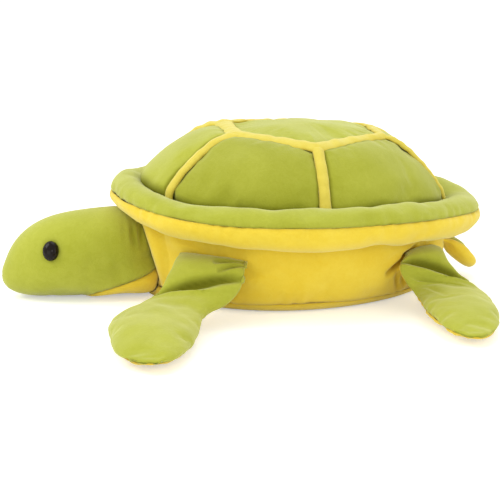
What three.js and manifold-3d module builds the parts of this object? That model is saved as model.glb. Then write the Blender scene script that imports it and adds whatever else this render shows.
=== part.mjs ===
import * as THREE from 'three';
import { mergeVertices } from 'three/addons/utils/BufferGeometryUtils.js';
import Module from 'manifold-3d';

// A plush turtle, in millimetres. The belly lies on the floor at Z = 0, with the origin at its middle.
// The head looks along -X and the turtle's left side is -Y. Angles round the shell run from the head
// end through the left side to the tail end.

const wasm = await Module();
wasm.setup();

const degree = Math.PI / 180;
const quarterTurn = Math.PI / 2;
const halfTurn = Math.PI;

// Cloth, seams and filling
const clothThickness = 1.8;
const seamGap = 0.3;
const fillGap = 0.8;
const floorGap = 0.6;

// Shell rim, a thick stuffed roll that lies round the shell
const rimHalfLength = 162.5;
const rimHalfWidth = 132;
const rimFrontWideningShare = 0.08;
const rimDiameter = 41;
const rimFrontSlimmingShare = 0.15;
const rimFrontSlimmingNarrowness = 20;
const rimMidHeight = 86.8;
const rimFrontRise = 3.5;
const rimEndRise = 9.5;
const rimOuterSeamAngle = 15 * degree;
const rimOuterSeamFrontDrop = 27 * degree;
const rimInnerSeamAngle = 187 * degree;

// Shell dome: six side panels round a six-cornered top panel, with ribbon over their seams
const hexFront = { forward: 68.5, left: 36, height: 158.5 };
const hexFlank = { forward: -3, left: 74, height: 149 };
const hexRear = { forward: -78, left: 28, height: 155 };
const crownForward = -2;
const crownHeight = 161;
const domeRoundness = 1.35;
const domeSeatAngle = 154 * degree;
const frontRibbonAngle = 26 * degree;
const flankRibbonAngle = 91.5 * degree;
const rearRibbonAngle = 165 * degree;
const ribbonWidth = 10;
const ribbonRise = 1.5;
const panelPuff = 6.5;
const rearPanelPuff = 2.5;

// Body cushion under the shell
const bodyFloorInset = 43;
const bodySideInset = 16.3;
const bodyFrontFloorInset = 24;
const bodyFrontSideInset = 11.5;
const bodyFrontNarrowness = 20;
const bodyWidestShare = 0.55;
const bodyRoundness = 2.2;
const bandSeatAngle = 212 * degree;
const bellySeamShare = 0.12;

// Head: a ball seated in the front of the body, its middle ahead of the rim's middle line by the
// lead, drawn out to a rounded nose
const neckBallRadius = 42.5;
const neckBallLead = 19.5;
const headLength = 108;
const noseHeight = 22;
const headTopRoundness = 1.9;
const headTopFullness = 2.6;
const headBottomRoundness = 2.2;
const headBottomFullness = 5;
const headSideFullness = 2.2;
const throatLength = 44;
const throatRise = 36;
const throatDepthBehindBall = 44;
const throatCurve = 0.87;

// Eyes: oval caps on shanks, held by washers behind the cloth
const eyeForward = 62;
const eyeHeight = 52.5;
const eyeWidth = 15;
const eyeTall = 19;
const eyeDome = 6;
const eyeRim = 1.2;
const eyeRecess = 0.9;
const shankDiameter = 4.8;
const shankLength = 13;
const washerDiameter = 16;
const washerThickness = 1.5;
const washerDepth = 3.6;

// Flippers and tail, sewn up flat and thin where they meet the body
const pinchedHalfThickness = 1.2;
const frontFlipper = {
  rootAngle: 48.4 * degree,
  rootHeight: 53,
  rootHalfChord: 35,
  aim: 75 * degree,
  forwardReach: 43,
  length: 172,
  halfChord: 41.5,
  halfThickness: 14,
  restHeight: floorGap,
};
const rearFlipper = {
  rootAngle: 135.3 * degree,
  rootHeight: 48,
  rootHalfChord: 25,
  aim: 84 * degree,
  forwardReach: -24.5,
  length: 160,
  halfChord: 34.5,
  halfThickness: 13,
  restHeight: floorGap,
};
const tail = {
  rootAngle: halfTurn,
  rootHeight: 41,
  rootHalfChord: 15,
  aim: halfTurn,
  forwardReach: 0,
  length: 38,
  halfChord: 19,
  halfThickness: 10,
  restHeight: 3,
};

// Stations along a flipper, as shares of its length, and what each size is there. The front flipper
// swings forward later than the rear one swings back.
const flipperShares = {
  station: [-0.1, 0, 0.05, 0.1, 0.15, 0.2, 0.28, 0.4, 0.54, 0.68, 0.8, 0.9, 0.97, 1],
  thickness: [0, 0, 0.4, 0.66, 0.62, 0.42, 0.78, 0.96, 1, 0.97, 0.86, 0.64, 0.36, 0],
  rounding: [1, 1, 1, 1, 1, 1, 1, 1, 0.97, 0.88, 0.75, 0.56, 0.31, 0],
  drop: [1, 1, 0.97, 0.84, 0.58, 0.3, 0.12, 0.03, 0, 0, 0, 0, 0, 0],
  level: [1, 1, 1, 1, 1, 1, 1, 1, 1, 0.98, 0.93, 0.86, 0.8, 0.76],
  turning: [1, 1, 0.9, 0.75, 0.55, 0.35, 0.15, 0, 0, 0, 0, 0, 0, 0],
};
const frontFlipperShares = {
  ...flipperShares,
  widening: [0, 0, 0, 0, 0.12, 0.28, 0.68, 1, 1, 1, 1, 1, 1, 1],
  reach: [0, 0, 0.02, 0.06, 0.14, 0.3, 0.72, 0.98, 1, 0.97, 0.9, 0.84, 0.79, 0.76],
};
const rearFlipperShares = {
  ...flipperShares,
  widening: [0, 0, 0.22, 0.5, 0.62, 0.66, 0.82, 0.98, 1, 1, 1, 1, 1, 1],
  reach: [0, 0, 0.03, 0.09, 0.25, 0.51, 0.79, 0.95, 1, 0.99, 0.97, 0.93, 0.89, 0.85],
};
const tailShares = {
  station: [-0.3, 0, 0.2, 0.45, 0.7, 0.9, 1],
  thickness: [0, 0, 0.55, 0.95, 1, 0.66, 0],
  widening: [0, 0, 0.5, 0.9, 1, 1, 1],
  rounding: [1, 1, 1, 1, 0.92, 0.6, 0],
  drop: [1, 1, 0.88, 0.6, 0.28, 0.08, 0],
  level: [1, 1, 1, 1, 1, 0.95, 0.9],
  turning: [0, 0, 0, 0, 0, 0, 0],
  reach: [0, 0, 0, 0, 0, 0, 0],
};
const limbEdgeFullness = 2.2;
const limbEdgeRoundness = 0.6;
const limbWallShare = 0.45;
const limbFillingShare = 0.82;

// Counts of facets
const spansPerPanel = 5;
const domeRows = 5;
const rimArcSpans = 5;
const headColumns = 20;
const ballRows = 6;
const limbSpans = 8;
const roundSpans = 16;
const socketSpans = 32;
const domeSteps = 4;
const waistRows = 3;

// Finishes
const greenPlush = { color: '#b9be4b', roughness: 0.95, metalness: 0 };
const yellowPlush = { color: '#ecd04f', roughness: 0.95, metalness: 0 };
const filling = { color: '#f4f2ea', roughness: 1, metalness: 0 };
const glossyEye = { color: '#14110f', roughness: 0.08, metalness: 0 };
const washerPlastic = { color: '#e8e6df', roughness: 0.5, metalness: 0 };

const rimRadius = rimDiameter / 2;
const ribbonHalf = ribbonWidth / 2;
const panelMargin = ribbonHalf + seamGap;
const ribbonEndMargin = ribbonHalf + 2 * seamGap;
const fillDepth = clothThickness + fillGap;
const seatRadius = rimRadius + seamGap;
const panelCount = 6;
const ringCount = panelCount * spansPerPanel;

// A point from its distances forward, to the left and up
function at(forward, left, height) {
  return new THREE.Vector3(-forward, -left, height);
}

function mix(from, to, share) {
  return from + (to - from) * share;
}

// Closed solids from points and faces, with facets that have collapsed left out and faces pointing out
function signedVolume(geometry) {
  const points = geometry.attributes.position;
  const index = geometry.index.array;
  const a = new THREE.Vector3();
  const b = new THREE.Vector3();
  const c = new THREE.Vector3();
  let total = 0;
  for (let i = 0; i < index.length; i += 3) {
    a.fromBufferAttribute(points, index[i]);
    b.fromBufferAttribute(points, index[i + 1]);
    c.fromBufferAttribute(points, index[i + 2]);
    total += a.dot(b.cross(c));
  }
  return total;
}

function closed(geometry) {
  geometry.deleteAttribute('normal');
  geometry.deleteAttribute('uv');
  const merged = mergeVertices(geometry);
  const index = Array.from(merged.index.array);
  const kept = [];
  for (let i = 0; i < index.length; i += 3) {
    const [a, b, c] = index.slice(i, i + 3);
    if (a !== b && b !== c && c !== a) {
      kept.push(a, b, c);
    }
  }
  merged.setIndex(kept);
  if (signedVolume(merged) < 0) {
    merged.setIndex(kept.reverse());
  }
  return merged;
}

function solid(points, faces) {
  const geometry = new THREE.BufferGeometry();
  geometry.setFromPoints(points);
  geometry.setIndex(faces.flat());
  return closed(geometry);
}

// Side faces between rings of points; the rings close on themselves, and so does their row if it wraps
function sideFaces(rings, wraps) {
  const count = rings[0].length;
  const faces = [];
  for (let i = 0; i < (wraps ? rings.length : rings.length - 1); i += 1) {
    const next = (i + 1) % rings.length;
    for (let j = 0; j < count; j += 1) {
      const k = (j + 1) % count;
      faces.push([i * count + j, i * count + k, next * count + k]);
      faces.push([i * count + j, next * count + k, next * count + j]);
    }
  }
  return faces;
}

// A solid of rings whose ends run to one point each
function loft(rings, startPoint, endPoint) {
  const count = rings[0].length;
  const points = rings.flat();
  const faces = sideFaces(rings, false);
  const start = points.length;
  const end = start + 1;
  const lastRing = (rings.length - 1) * count;
  for (let j = 0; j < count; j += 1) {
    const k = (j + 1) % count;
    faces.push([start, k, j]);
    faces.push([end, lastRing + j, lastRing + k]);
  }
  return solid([...points, startPoint, endPoint], faces);
}

// A ring-shaped solid from the sections round it
function hoop(sections) {
  return solid(sections.flat(), sideFaces(sections, true));
}

// A piece of cloth between its outer and inner rows of points
function cloth(outer, inner) {
  const width = outer[0].length;
  const loops = outer.map((row, i) => [...row, ...inner[i].toReversed()]);
  const faces = sideFaces(loops, false);
  const lastLoop = (loops.length - 1) * 2 * width;
  for (let j = 0; j < width - 1; j += 1) {
    const far = 2 * width - 1 - j;
    faces.push([j, far, far - 1], [j, far - 1, j + 1]);
    faces.push([lastLoop + j, lastLoop + far - 1, lastLoop + far]);
    faces.push([lastLoop + j, lastLoop + j + 1, lastLoop + far - 1]);
  }
  return solid(loops.flat(), faces);
}

// Solids to cut and join, and back
function toManifold(geometry) {
  return new wasm.Manifold(new wasm.Mesh({
    numProp: 3,
    vertProperties: new Float32Array(geometry.attributes.position.array),
    triVerts: new Uint32Array(geometry.index.array),
  }));
}

function fromManifold(body) {
  const mesh = body.getMesh();
  const geometry = new THREE.BufferGeometry();
  geometry.setAttribute('position', new THREE.BufferAttribute(mesh.vertProperties, 3));
  geometry.setIndex(new THREE.BufferAttribute(mesh.triVerts, 1));
  return geometry;
}

function largestPiece(body) {
  const pieces = body.decompose();
  pieces.sort((a, b) => b.volume() - a.volume());
  return pieces[0];
}

function mirrored(geometry) {
  const copy = geometry.clone();
  copy.scale(1, -1, 1);
  copy.setIndex(Array.from(copy.index.array).reverse());
  return copy;
}

// The rim's middle line, seen from above, the outward direction there, and the sizes that change on
// the way round from the head end
function rimFrame(angle) {
  const frontShare = (1 + Math.cos(angle)) / 2;
  const underHead = frontShare ** bodyFrontNarrowness;
  const widening = 1 + rimFrontWideningShare * Math.cos(angle);
  const forward = rimHalfLength * Math.cos(angle);
  const left = rimHalfWidth * Math.sin(angle) * widening;
  const alongForward = -rimHalfLength * Math.sin(angle);
  const turn = rimFrontWideningShare * Math.sin(angle) ** 2;
  const alongLeft = rimHalfWidth * (Math.cos(angle) * widening - turn);
  const speed = Math.hypot(alongForward, alongLeft);
  return {
    forward,
    left,
    outForward: alongLeft / speed,
    outLeft: -alongForward / speed,
    height: rimMidHeight + rimFrontRise * Math.cos(angle) + rimEndRise * Math.cos(angle) ** 3,
    radius: rimRadius * (1 - rimFrontSlimmingShare * frontShare ** rimFrontSlimmingNarrowness),
    outerSeam: rimOuterSeamAngle - rimOuterSeamFrontDrop * frontShare ** 3,
    sideInset: mix(bodySideInset, bodyFrontSideInset, underHead),
    floorInset: mix(bodyFloorInset, bodyFrontFloorInset, underHead),
  };
}

// Places round the rim are counted in facet spans from the front left ribbon. All pieces that lie
// round the shell share these facets, so that their seams stay parallel.
const ribbonAngles = [
  frontRibbonAngle,
  flankRibbonAngle,
  rearRibbonAngle,
  2 * halfTurn - rearRibbonAngle,
  2 * halfTurn - flankRibbonAngle,
  2 * halfTurn - frontRibbonAngle,
];

function panelSpan(panel) {
  const start = ribbonAngles[panel];
  const end = panel === panelCount - 1 ? ribbonAngles[0] + 2 * halfTurn : ribbonAngles[panel + 1];
  return { start, end };
}

const ringFrames = [];
for (let panel = 0; panel < panelCount; panel += 1) {
  const { start, end } = panelSpan(panel);
  for (let j = 0; j < spansPerPanel; j += 1) {
    ringFrames.push(rimFrame(mix(start, end, j / spansPerPanel)));
  }
}

function placeOfAngle(angle) {
  const turned = angle < ribbonAngles[0] ? angle + 2 * halfTurn : angle;
  let panel = panelCount - 1;
  while (panelSpan(panel).start > turned) {
    panel -= 1;
  }
  const { start, end } = panelSpan(panel);
  return spansPerPanel * (panel + (turned - start) / (end - start));
}

function frameAt(place) {
  const whole = Math.floor(place);
  const from = ringFrames[whole % ringCount];
  const to = ringFrames[(whole + 1) % ringCount];
  const share = place - whole;
  const frame = {};
  for (const key of Object.keys(from)) {
    frame[key] = mix(from[key], to[key], share);
  }
  return frame;
}

function outFrom(place, offset, height) {
  const frame = frameAt(place);
  return at(frame.forward + frame.outForward * offset, frame.left + frame.outLeft * offset, height);
}

// A point clear of the roll's surface by a distance, in a direction counted up from straight out
function rollSpot(place, clear, direction) {
  const frame = frameAt(place);
  const radius = frame.radius + clear;
  return outFrom(place, radius * Math.cos(direction), frame.height + radius * Math.sin(direction));
}

function ringOf(spot) {
  return Array.from({ length: ringCount }, (unused, place) => spot(place));
}

// Rim covers and rim filling, with their facets' corners at the same directions from the roll's middle
function rimDirections(place, isUpper, clear) {
  const { outerSeam } = frameAt(place);
  const start = (isUpper ? outerSeam : rimInnerSeamAngle) + clear;
  const end = (isUpper ? rimInnerSeamAngle : outerSeam + 2 * halfTurn) - clear;
  return Array.from({ length: rimArcSpans + 1 }, (unused, i) => mix(start, end, i / rimArcSpans));
}

function rimCover(isUpper) {
  return hoop(ringOf((place) => {
    const directions = rimDirections(place, isUpper, seamGap / 2 / rimRadius);
    return [
      ...directions.map((direction) => rollSpot(place, 0, direction)),
      ...directions.toReversed().map((direction) => rollSpot(place, -clothThickness, direction)),
    ];
  }));
}

function rimFilling() {
  return hoop(ringOf((place) => {
    const upper = rimDirections(place, true, 0).slice(0, rimArcSpans);
    const lower = rimDirections(place, false, 0).slice(0, rimArcSpans);
    return [...upper, ...lower].map((direction) => rollSpot(place, -fillDepth, direction));
  }));
}

// The top panel's corners, in the order of the ribbons that reach them
function cornerSpot(corner, side) {
  return at(corner.forward, side * corner.left, corner.height);
}
const hexCorners = [
  cornerSpot(hexFront, 1),
  cornerSpot(hexFlank, 1),
  cornerSpot(hexRear, 1),
  cornerSpot(hexRear, -1),
  cornerSpot(hexFlank, -1),
  cornerSpot(hexFront, -1),
];

function hexSpot(place) {
  const panel = Math.floor(place / spansPerPanel) % panelCount;
  const share = place / spansPerPanel - Math.floor(place / spansPerPanel);
  return hexCorners[panel].clone().lerp(hexCorners[(panel + 1) % panelCount], share);
}

// The dome's outer surface: place counts round it, rise is the angle of its profile from seat to top
function seatSpot(place, outward) {
  return rollSpot(place, seamGap, domeSeatAngle - outward / seatRadius);
}

function domeSurface(place, rise) {
  const base = seatSpot(place, 0);
  const top = hexSpot(place);
  const across = 1 - Math.cos(rise) ** (2 / domeRoundness);
  const up = Math.sin(rise) ** (2 / domeRoundness);
  return new THREE.Vector3(mix(base.x, top.x, across), mix(base.y, top.y, across), mix(base.z, top.z, up));
}

const normalStepShare = 0.02;
const lowestNormalRise = 3 * degree;
const highestNormalRise = 87 * degree;

function domeNormal(panel, share, rise) {
  if (share === 0) {
    const previous = (panel + panelCount - 1) % panelCount;
    return panelNormal(previous, 1, rise).add(panelNormal(panel, 0, rise)).normalize();
  }
  return panelNormal(panel, share, rise);
}

function panelNormal(panel, share, rise) {
  const first = panel * spansPerPanel;
  const before = first + spansPerPanel * Math.max(0, share - normalStepShare);
  const after = first + spansPerPanel * Math.min(1, share + normalStepShare);
  const middle = first + spansPerPanel * share;
  const steady = Math.min(highestNormalRise, Math.max(lowestNormalRise, rise));
  const along = domeSurface(after, steady).sub(domeSurface(before, steady));
  const upward = domeSurface(middle, steady + degree).sub(domeSurface(middle, steady - degree));
  return along.cross(upward).normalize();
}

// A point of the dome in one panel, set out from the surface; at the rim it keeps to its seat there
function domeSpot(panel, share, rise, outward, puff = 0) {
  const place = spansPerPanel * (panel + share);
  if (rise === 0) {
    return seatSpot(place, outward);
  }
  return domeSurface(place, rise).addScaledVector(domeNormal(panel, share, rise), outward + puff);
}

// The rise at which the profile is a given distance short of the top panel's edge, straight between
// the facets' corners
function riseAtCorner(place, distance) {
  const run = seatSpot(place, 0).sub(hexSpot(place)).setZ(0).length();
  return Math.acos((distance / run) ** (domeRoundness / 2));
}

function riseNearTop(panel, share, distance) {
  const place = spansPerPanel * (panel + share);
  const whole = Math.floor(place);
  return mix(riseAtCorner(whole, distance), riseAtCorner(whole + 1, distance), place - whole);
}

// The share of a panel's width that a distance from its ribbon's middle takes up, at one rise
function shareOfWidth(panel, rise, distance) {
  const start = domeSurface(spansPerPanel * panel, rise);
  const end = domeSurface(spansPerPanel * (panel + 1), rise);
  return distance / start.distanceTo(end);
}

// Rows of the dome end just short of the top panel's edge, by a margin
function domeRise(panel, share, row, margin) {
  return (row / domeRows) * riseNearTop(panel, share, margin);
}

function rowsOf(rowCount, columnCount, spot) {
  return Array.from({ length: rowCount }, (unusedRow, row) => (
    Array.from({ length: columnCount }, (unusedColumn, column) => spot(row, column))
  ));
}

// One side panel, puffed between its ribbons; the rear panel is narrow and puffs less
const rearPanel = 2;

function sidePanel(panel) {
  const spot = (row, column, outward) => {
    const edge = shareOfWidth(panel, domeRise(panel, 1 / 2, row, panelMargin), panelMargin);
    const share = Math.min(1 - edge, Math.max(edge, column / spansPerPanel));
    const rise = domeRise(panel, share, row, panelMargin);
    const fullPuff = panel === rearPanel ? rearPanelPuff : panelPuff;
    const puff = fullPuff * 4 * share * (1 - share) * Math.sin(2 * rise);
    return domeSpot(panel, share, rise, outward, puff);
  };
  const layer = (outward) => rowsOf(domeRows + 1, spansPerPanel + 1, (row, column) => (
    spot(row, column, outward)
  ));
  return cloth(layer(0), layer(-clothThickness));
}

// One ribbon from the rim up to the top panel's corner, straddling two side panels
function sideRibbon(panel) {
  const previous = (panel + panelCount - 1) % panelCount;
  const layer = (outward) => rowsOf(domeRows + 1, 3, (row, column) => {
    if (column === 1) {
      return domeSpot(panel, 0, domeRise(panel, 0, row, ribbonEndMargin), outward);
    }
    const side = column === 0 ? previous : panel;
    const edge = shareOfWidth(side, domeRise(side, 1 / 2, row, ribbonEndMargin), ribbonHalf);
    const share = column === 0 ? 1 - edge : edge;
    return domeSpot(side, share, domeRise(side, share, row, ribbonEndMargin), outward);
  });
  return cloth(layer(ribbonRise), layer(-clothThickness));
}

// The top panel's surface: reach runs from the crown at 0 to the panel's edge at 1
const crown = at(crownForward, 0, crownHeight);

function topSpot(place, reach, outward) {
  const edge = hexSpot(place);
  const spot = crown.clone().lerp(edge, reach);
  spot.z = mix(crown.z, edge.z, reach * reach) + outward;
  return spot;
}

function reachShortOf(place, distance) {
  return 1 - distance / hexSpot(place).sub(crown).setZ(0).length();
}

function borderRibbon() {
  return hoop(ringOf((place) => {
    const panel = Math.floor(place / spansPerPanel);
    const share = place / spansPerPanel - panel;
    const rise = riseNearTop(panel, share, ribbonHalf);
    const reach = reachShortOf(place, ribbonHalf);
    const layer = (outward) => [
      domeSpot(panel, share, rise, outward),
      topSpot(place, 1, outward),
      topSpot(place, reach, outward),
    ];
    return [...layer(ribbonRise), ...layer(-clothThickness).toReversed()];
  }));
}

const topReachShares = [0.3, 0.6, 0.8];

function topPanel() {
  const layer = (outward) => [
    ...topReachShares.map((share) => ringOf((place) => topSpot(place, share, outward))),
    ringOf((place) => topSpot(place, reachShortOf(place, panelMargin), outward)),
  ];
  const rings = [...layer(0), ...layer(-clothThickness).toReversed()];
  return loft(rings, topSpot(0, 0, 0), topSpot(0, 0, -clothThickness));
}

// The body's side, from its flat underside up to its seat under the rim
const bellyShares = [0, bellySeamShare / 3, (2 * bellySeamShare) / 3, bellySeamShare];
const bandShares = [0.2, 0.3, 0.42, bodyWidestShare, 0.7, 0.85, 1];
const profileStepShare = 0.01;

function bodyProfile(place, share) {
  const frame = frameAt(place);
  const topHeight = frame.height + (frame.radius + seamGap) * Math.sin(bandSeatAngle);
  const seatInset = -(frame.radius + seamGap) * Math.cos(bandSeatAngle);
  if (share > bodyWidestShare) {
    const over = (share - bodyWidestShare) / (1 - bodyWidestShare);
    return { inset: mix(frame.sideInset, seatInset, over * over), height: share * topHeight, topHeight };
  }
  const under = Math.max(0, 1 - share / bodyWidestShare);
  const tuck = 1 - (1 - under ** bodyRoundness) ** (1 / bodyRoundness);
  return { inset: mix(frame.sideInset, frame.floorInset, tuck), height: share * topHeight, topHeight };
}

function bodySpot(place, share, inward) {
  const { inset, height } = bodyProfile(place, share);
  if (share === 0) {
    return outFrom(place, -inset, inward);
  }
  if (share === 1) {
    return rollSpot(place, seamGap, bandSeatAngle - inward / seatRadius);
  }
  const above = bodyProfile(place, share + profileStepShare);
  const below = bodyProfile(place, share - profileStepShare);
  const climb = above.height - below.height;
  const drawIn = above.inset - below.inset;
  const slope = Math.hypot(climb, drawIn);
  return outFrom(place, -inset - (climb / slope) * inward, height - (drawIn / slope) * inward);
}

function bellyPanel() {
  const layer = (inward) => bellyShares.map((share) => ringOf((place) => bodySpot(place, share, inward)));
  const rings = [...layer(0), ...layer(clothThickness).toReversed()];
  return loft(rings, at(0, 0, 0), at(0, 0, clothThickness));
}

function sideBand() {
  return hoop(ringOf((place) => {
    const start = bellySeamShare + seamGap / bodyProfile(place, 1).topHeight;
    const layer = (inward) => [start, ...bandShares].map((share) => bodySpot(place, share, inward));
    return [...layer(0), ...layer(clothThickness).toReversed()];
  }));
}

// The space of the body under the rim, which the limbs' roots are cut to
function bodySpace() {
  const rings = [...bellyShares, ...bandShares].map((share) => (
    ringOf((place) => bodySpot(place, share, -seamGap))
  ));
  return loft(rings, at(0, 0, -seamGap), at(0, 0, rimMidHeight));
}

// Filling of the body and the dome, drawn in at the waist inside the rim
function torsoFilling() {
  const bodyRings = [...bellyShares, ...bandShares].map((share) => (
    ringOf((place) => bodySpot(place, share, fillDepth))
  ));
  const lowDirection = bandSeatAngle - fillDepth / seatRadius;
  const highDirection = domeSeatAngle + fillDepth / seatRadius;
  const waistRings = Array.from({ length: waistRows }, (unused, i) => {
    const direction = mix(lowDirection, highDirection, (i + 1) / (waistRows + 1));
    return ringOf((place) => rollSpot(place, seamGap + fillGap, direction));
  });
  const domeRings = rowsOf(domeRows + 1, ringCount, (row, place) => {
    const panel = Math.floor(place / spansPerPanel);
    const share = place / spansPerPanel - panel;
    return domeSpot(panel, share, domeRise(panel, share, row, panelMargin), -fillDepth);
  });
  const topRings = [1, ...topReachShares.toReversed()].map((share) => (
    ringOf((place) => topSpot(place, share, -fillDepth))
  ));
  const rings = [...bodyRings, ...waistRings, ...domeRings, ...topRings];
  return loft(rings, at(0, 0, fillDepth), topSpot(0, 0, -fillDepth));
}

// The head, inset by a depth for its inner surface and its filling. Reach is the share of the way
// from the neck ball's middle to the nose.
const neckBallForward = rimHalfLength + neckBallLead;
const neckBallHeight = neckBallRadius + floorGap;
const headReachShares = [0, 0.13, 0.26, 0.38, 0.5, 0.62, 0.73, 0.83, 0.91, 0.97];

function headSection(reach, inset) {
  const radius = neckBallRadius - inset;
  const topCurve = (1 - reach ** headTopFullness) ** (1 / headTopRoundness);
  const bottomCurve = (1 - reach ** headBottomFullness) ** (1 / headBottomRoundness);
  return {
    top: mix(noseHeight, neckBallHeight + radius, topCurve),
    bottom: mix(noseHeight, neckBallHeight - radius, bottomCurve),
    middle: mix(neckBallHeight, noseHeight, reach * reach),
    half: radius * Math.sqrt(1 - reach ** headSideFullness),
  };
}

function headSpot(reach, angle, inset) {
  const { top, bottom, middle, half } = headSection(reach, inset);
  const height = Math.sin(angle) > 0 ? top - middle : middle - bottom;
  const forward = neckBallForward + (headLength - inset) * reach;
  return at(forward, half * Math.cos(angle), middle + height * Math.sin(angle));
}

function headSolid(inset) {
  const radius = neckBallRadius - inset;
  const angles = Array.from({ length: headColumns }, (unused, i) => (i * 2 * halfTurn) / headColumns);
  const ballRings = Array.from({ length: ballRows - 1 }, (unused, i) => {
    const polar = ((i + 1) * quarterTurn) / ballRows;
    return angles.map((angle) => at(
      neckBallForward - radius * Math.cos(polar),
      radius * Math.sin(polar) * Math.cos(angle),
      neckBallHeight + radius * Math.sin(polar) * Math.sin(angle),
    ));
  });
  const frontRings = headReachShares.map((reach) => angles.map((angle) => headSpot(reach, angle, inset)));
  const back = at(neckBallForward - radius, 0, neckBallHeight);
  const nose = at(neckBallForward + headLength - inset, 0, noseHeight);
  return loft([...ballRings, ...frontRings], back, nose);
}

// The round space that the neck ball turns in, wide enough for its facets to clear the ball
function neckSocket() {
  const facetTurn = halfTurn / socketSpans;
  const radius = (neckBallRadius + seamGap) / Math.cos(facetTurn) ** 2;
  const ball = new THREE.SphereGeometry(radius, socketSpans, socketSpans);
  ball.translate(-neckBallForward, 0, neckBallHeight);
  return toManifold(closed(ball));
}

// The wedge under the head that the throat panel fills; its seam climbs from the chin to the neck
const throatCurveShares = [0, 0.15, 0.35, 0.55, 0.75, 1];

function throatWedge(seamShift) {
  const front = neckBallForward + throatLength;
  const run = throatLength + throatDepthBehindBall;
  const below = -neckBallRadius;
  const seam = throatCurveShares.map((share) => (
    new THREE.Vector2(front - run * share, throatRise * share ** throatCurve + seamShift)
  ));
  const corners = [new THREE.Vector2(front - run, below), new THREE.Vector2(front, below)];
  const shape = new THREE.Shape([...seam, ...corners]);
  const wedge = new THREE.ExtrudeGeometry(shape, { depth: 4 * neckBallRadius, bevelEnabled: false });
  wedge.translate(0, 0, -2 * neckBallRadius);
  const sideways = new THREE.Matrix4().makeBasis(at(1, 0, 0), at(0, 0, 1), at(0, -1, 0));
  wedge.applyMatrix4(sideways);
  return toManifold(closed(wedge));
}

// The eye's place on the head: its middle, with the surface's normal as its own Z and upward as its Y
const probeStepShare = 0.01;

function eyePlace() {
  const reach = eyeForward / headLength;
  const { top, middle } = headSection(reach, 0);
  const angle = Math.asin((eyeHeight - middle) / (top - middle));
  const alongHead = headSpot(reach + probeStepShare, angle, 0).sub(headSpot(reach - probeStepShare, angle, 0));
  const roundHead = headSpot(reach, angle + probeStepShare, 0).sub(headSpot(reach, angle - probeStepShare, 0));
  const normal = roundHead.cross(alongHead).normalize();
  if (normal.y > 0) {
    normal.negate();
  }
  const sideAxis = at(0, 0, 1).cross(normal).normalize();
  const upAxis = normal.clone().cross(sideAxis);
  const basis = new THREE.Matrix4().makeBasis(sideAxis, upAxis, normal);
  return basis.setPosition(headSpot(reach, angle, 0));
}

// A round post along Z between two heights
function post(radius, fromHeight, toHeight) {
  const geometry = new THREE.CylinderGeometry(radius, radius, toHeight - fromHeight, roundSpans);
  geometry.rotateX(quarterTurn);
  geometry.translate(0, 0, (fromHeight + toHeight) / 2);
  return closed(geometry);
}

function turnedProfile(points) {
  const geometry = new THREE.LatheGeometry(points, roundSpans);
  geometry.rotateX(quarterTurn);
  return closed(geometry);
}

function eyeSolid() {
  const profile = [new THREE.Vector2(0, -eyeRecess), new THREE.Vector2(1, -eyeRecess)];
  for (let i = 0; i <= domeSteps; i += 1) {
    const rise = (i / domeSteps) * quarterTurn;
    const height = eyeRim - eyeRecess + eyeDome * Math.sin(rise);
    profile.push(new THREE.Vector2(i === domeSteps ? 0 : Math.cos(rise), height));
  }
  const cap = turnedProfile(profile);
  cap.scale(eyeWidth / 2, eyeTall / 2, 1);
  const shank = post(shankDiameter / 2, -eyeRecess - shankLength, -eyeRecess + eyeRim / 2);
  return fromManifold(toManifold(cap).add(toManifold(shank)));
}

function eyeWasher() {
  const inner = shankDiameter / 2 + seamGap;
  const outer = washerDiameter / 2;
  const near = -washerDepth;
  const far = near - washerThickness;
  return turnedProfile([
    new THREE.Vector2(inner, far),
    new THREE.Vector2(outer, far),
    new THREE.Vector2(outer, near),
    new THREE.Vector2(inner, near),
    new THREE.Vector2(inner, far),
  ]);
}

// Cuts for an eye: its seat and shank hole in the cloth, and the room for its washer in the filling
function eyeSeatCut() {
  const seat = post(1, -eyeRecess - seamGap, eyeTall);
  seat.scale(eyeWidth / 2 + seamGap, eyeTall / 2 + seamGap, 1);
  const hole = post(shankDiameter / 2 + seamGap, -eyeRecess - shankLength, 0);
  return toManifold(seat).add(toManifold(hole));
}

function eyePocketCut() {
  const pocket = post(washerDiameter / 2 + seamGap, -washerDepth - washerThickness - seamGap, eyeTall);
  const bore = post(shankDiameter / 2 + seamGap, -eyeRecess - shankLength - seamGap, 0);
  return toManifold(pocket).add(toManifold(bore));
}

const leftEyePlace = eyePlace();
const rightEyePlace = new THREE.Matrix4().makeScale(1, -1, 1).multiply(leftEyePlace);
rightEyePlace.multiply(new THREE.Matrix4().makeScale(-1, 1, 1));
const eyePlaces = { left: leftEyePlace, right: rightEyePlace };

function cutAtEyes(body, cut) {
  let rest = body;
  for (const place of Object.values(eyePlaces)) {
    rest = rest.subtract(cut.transform(place.elements));
  }
  return rest;
}

function headPieces() {
  const shell = toManifold(headSolid(0)).subtract(toManifold(headSolid(clothThickness)));
  const cover = cutAtEyes(shell.subtract(throatWedge(seamGap / 2)), eyeSeatCut());
  const throat = shell.intersect(throatWedge(-seamGap / 2));
  const stuffing = cutAtEyes(toManifold(headSolid(fillDepth)), eyePocketCut());
  return {
    cover: fromManifold(largestPiece(cover)),
    throat: fromManifold(largestPiece(throat)),
    stuffing: fromManifold(largestPiece(stuffing)),
  };
}

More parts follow.
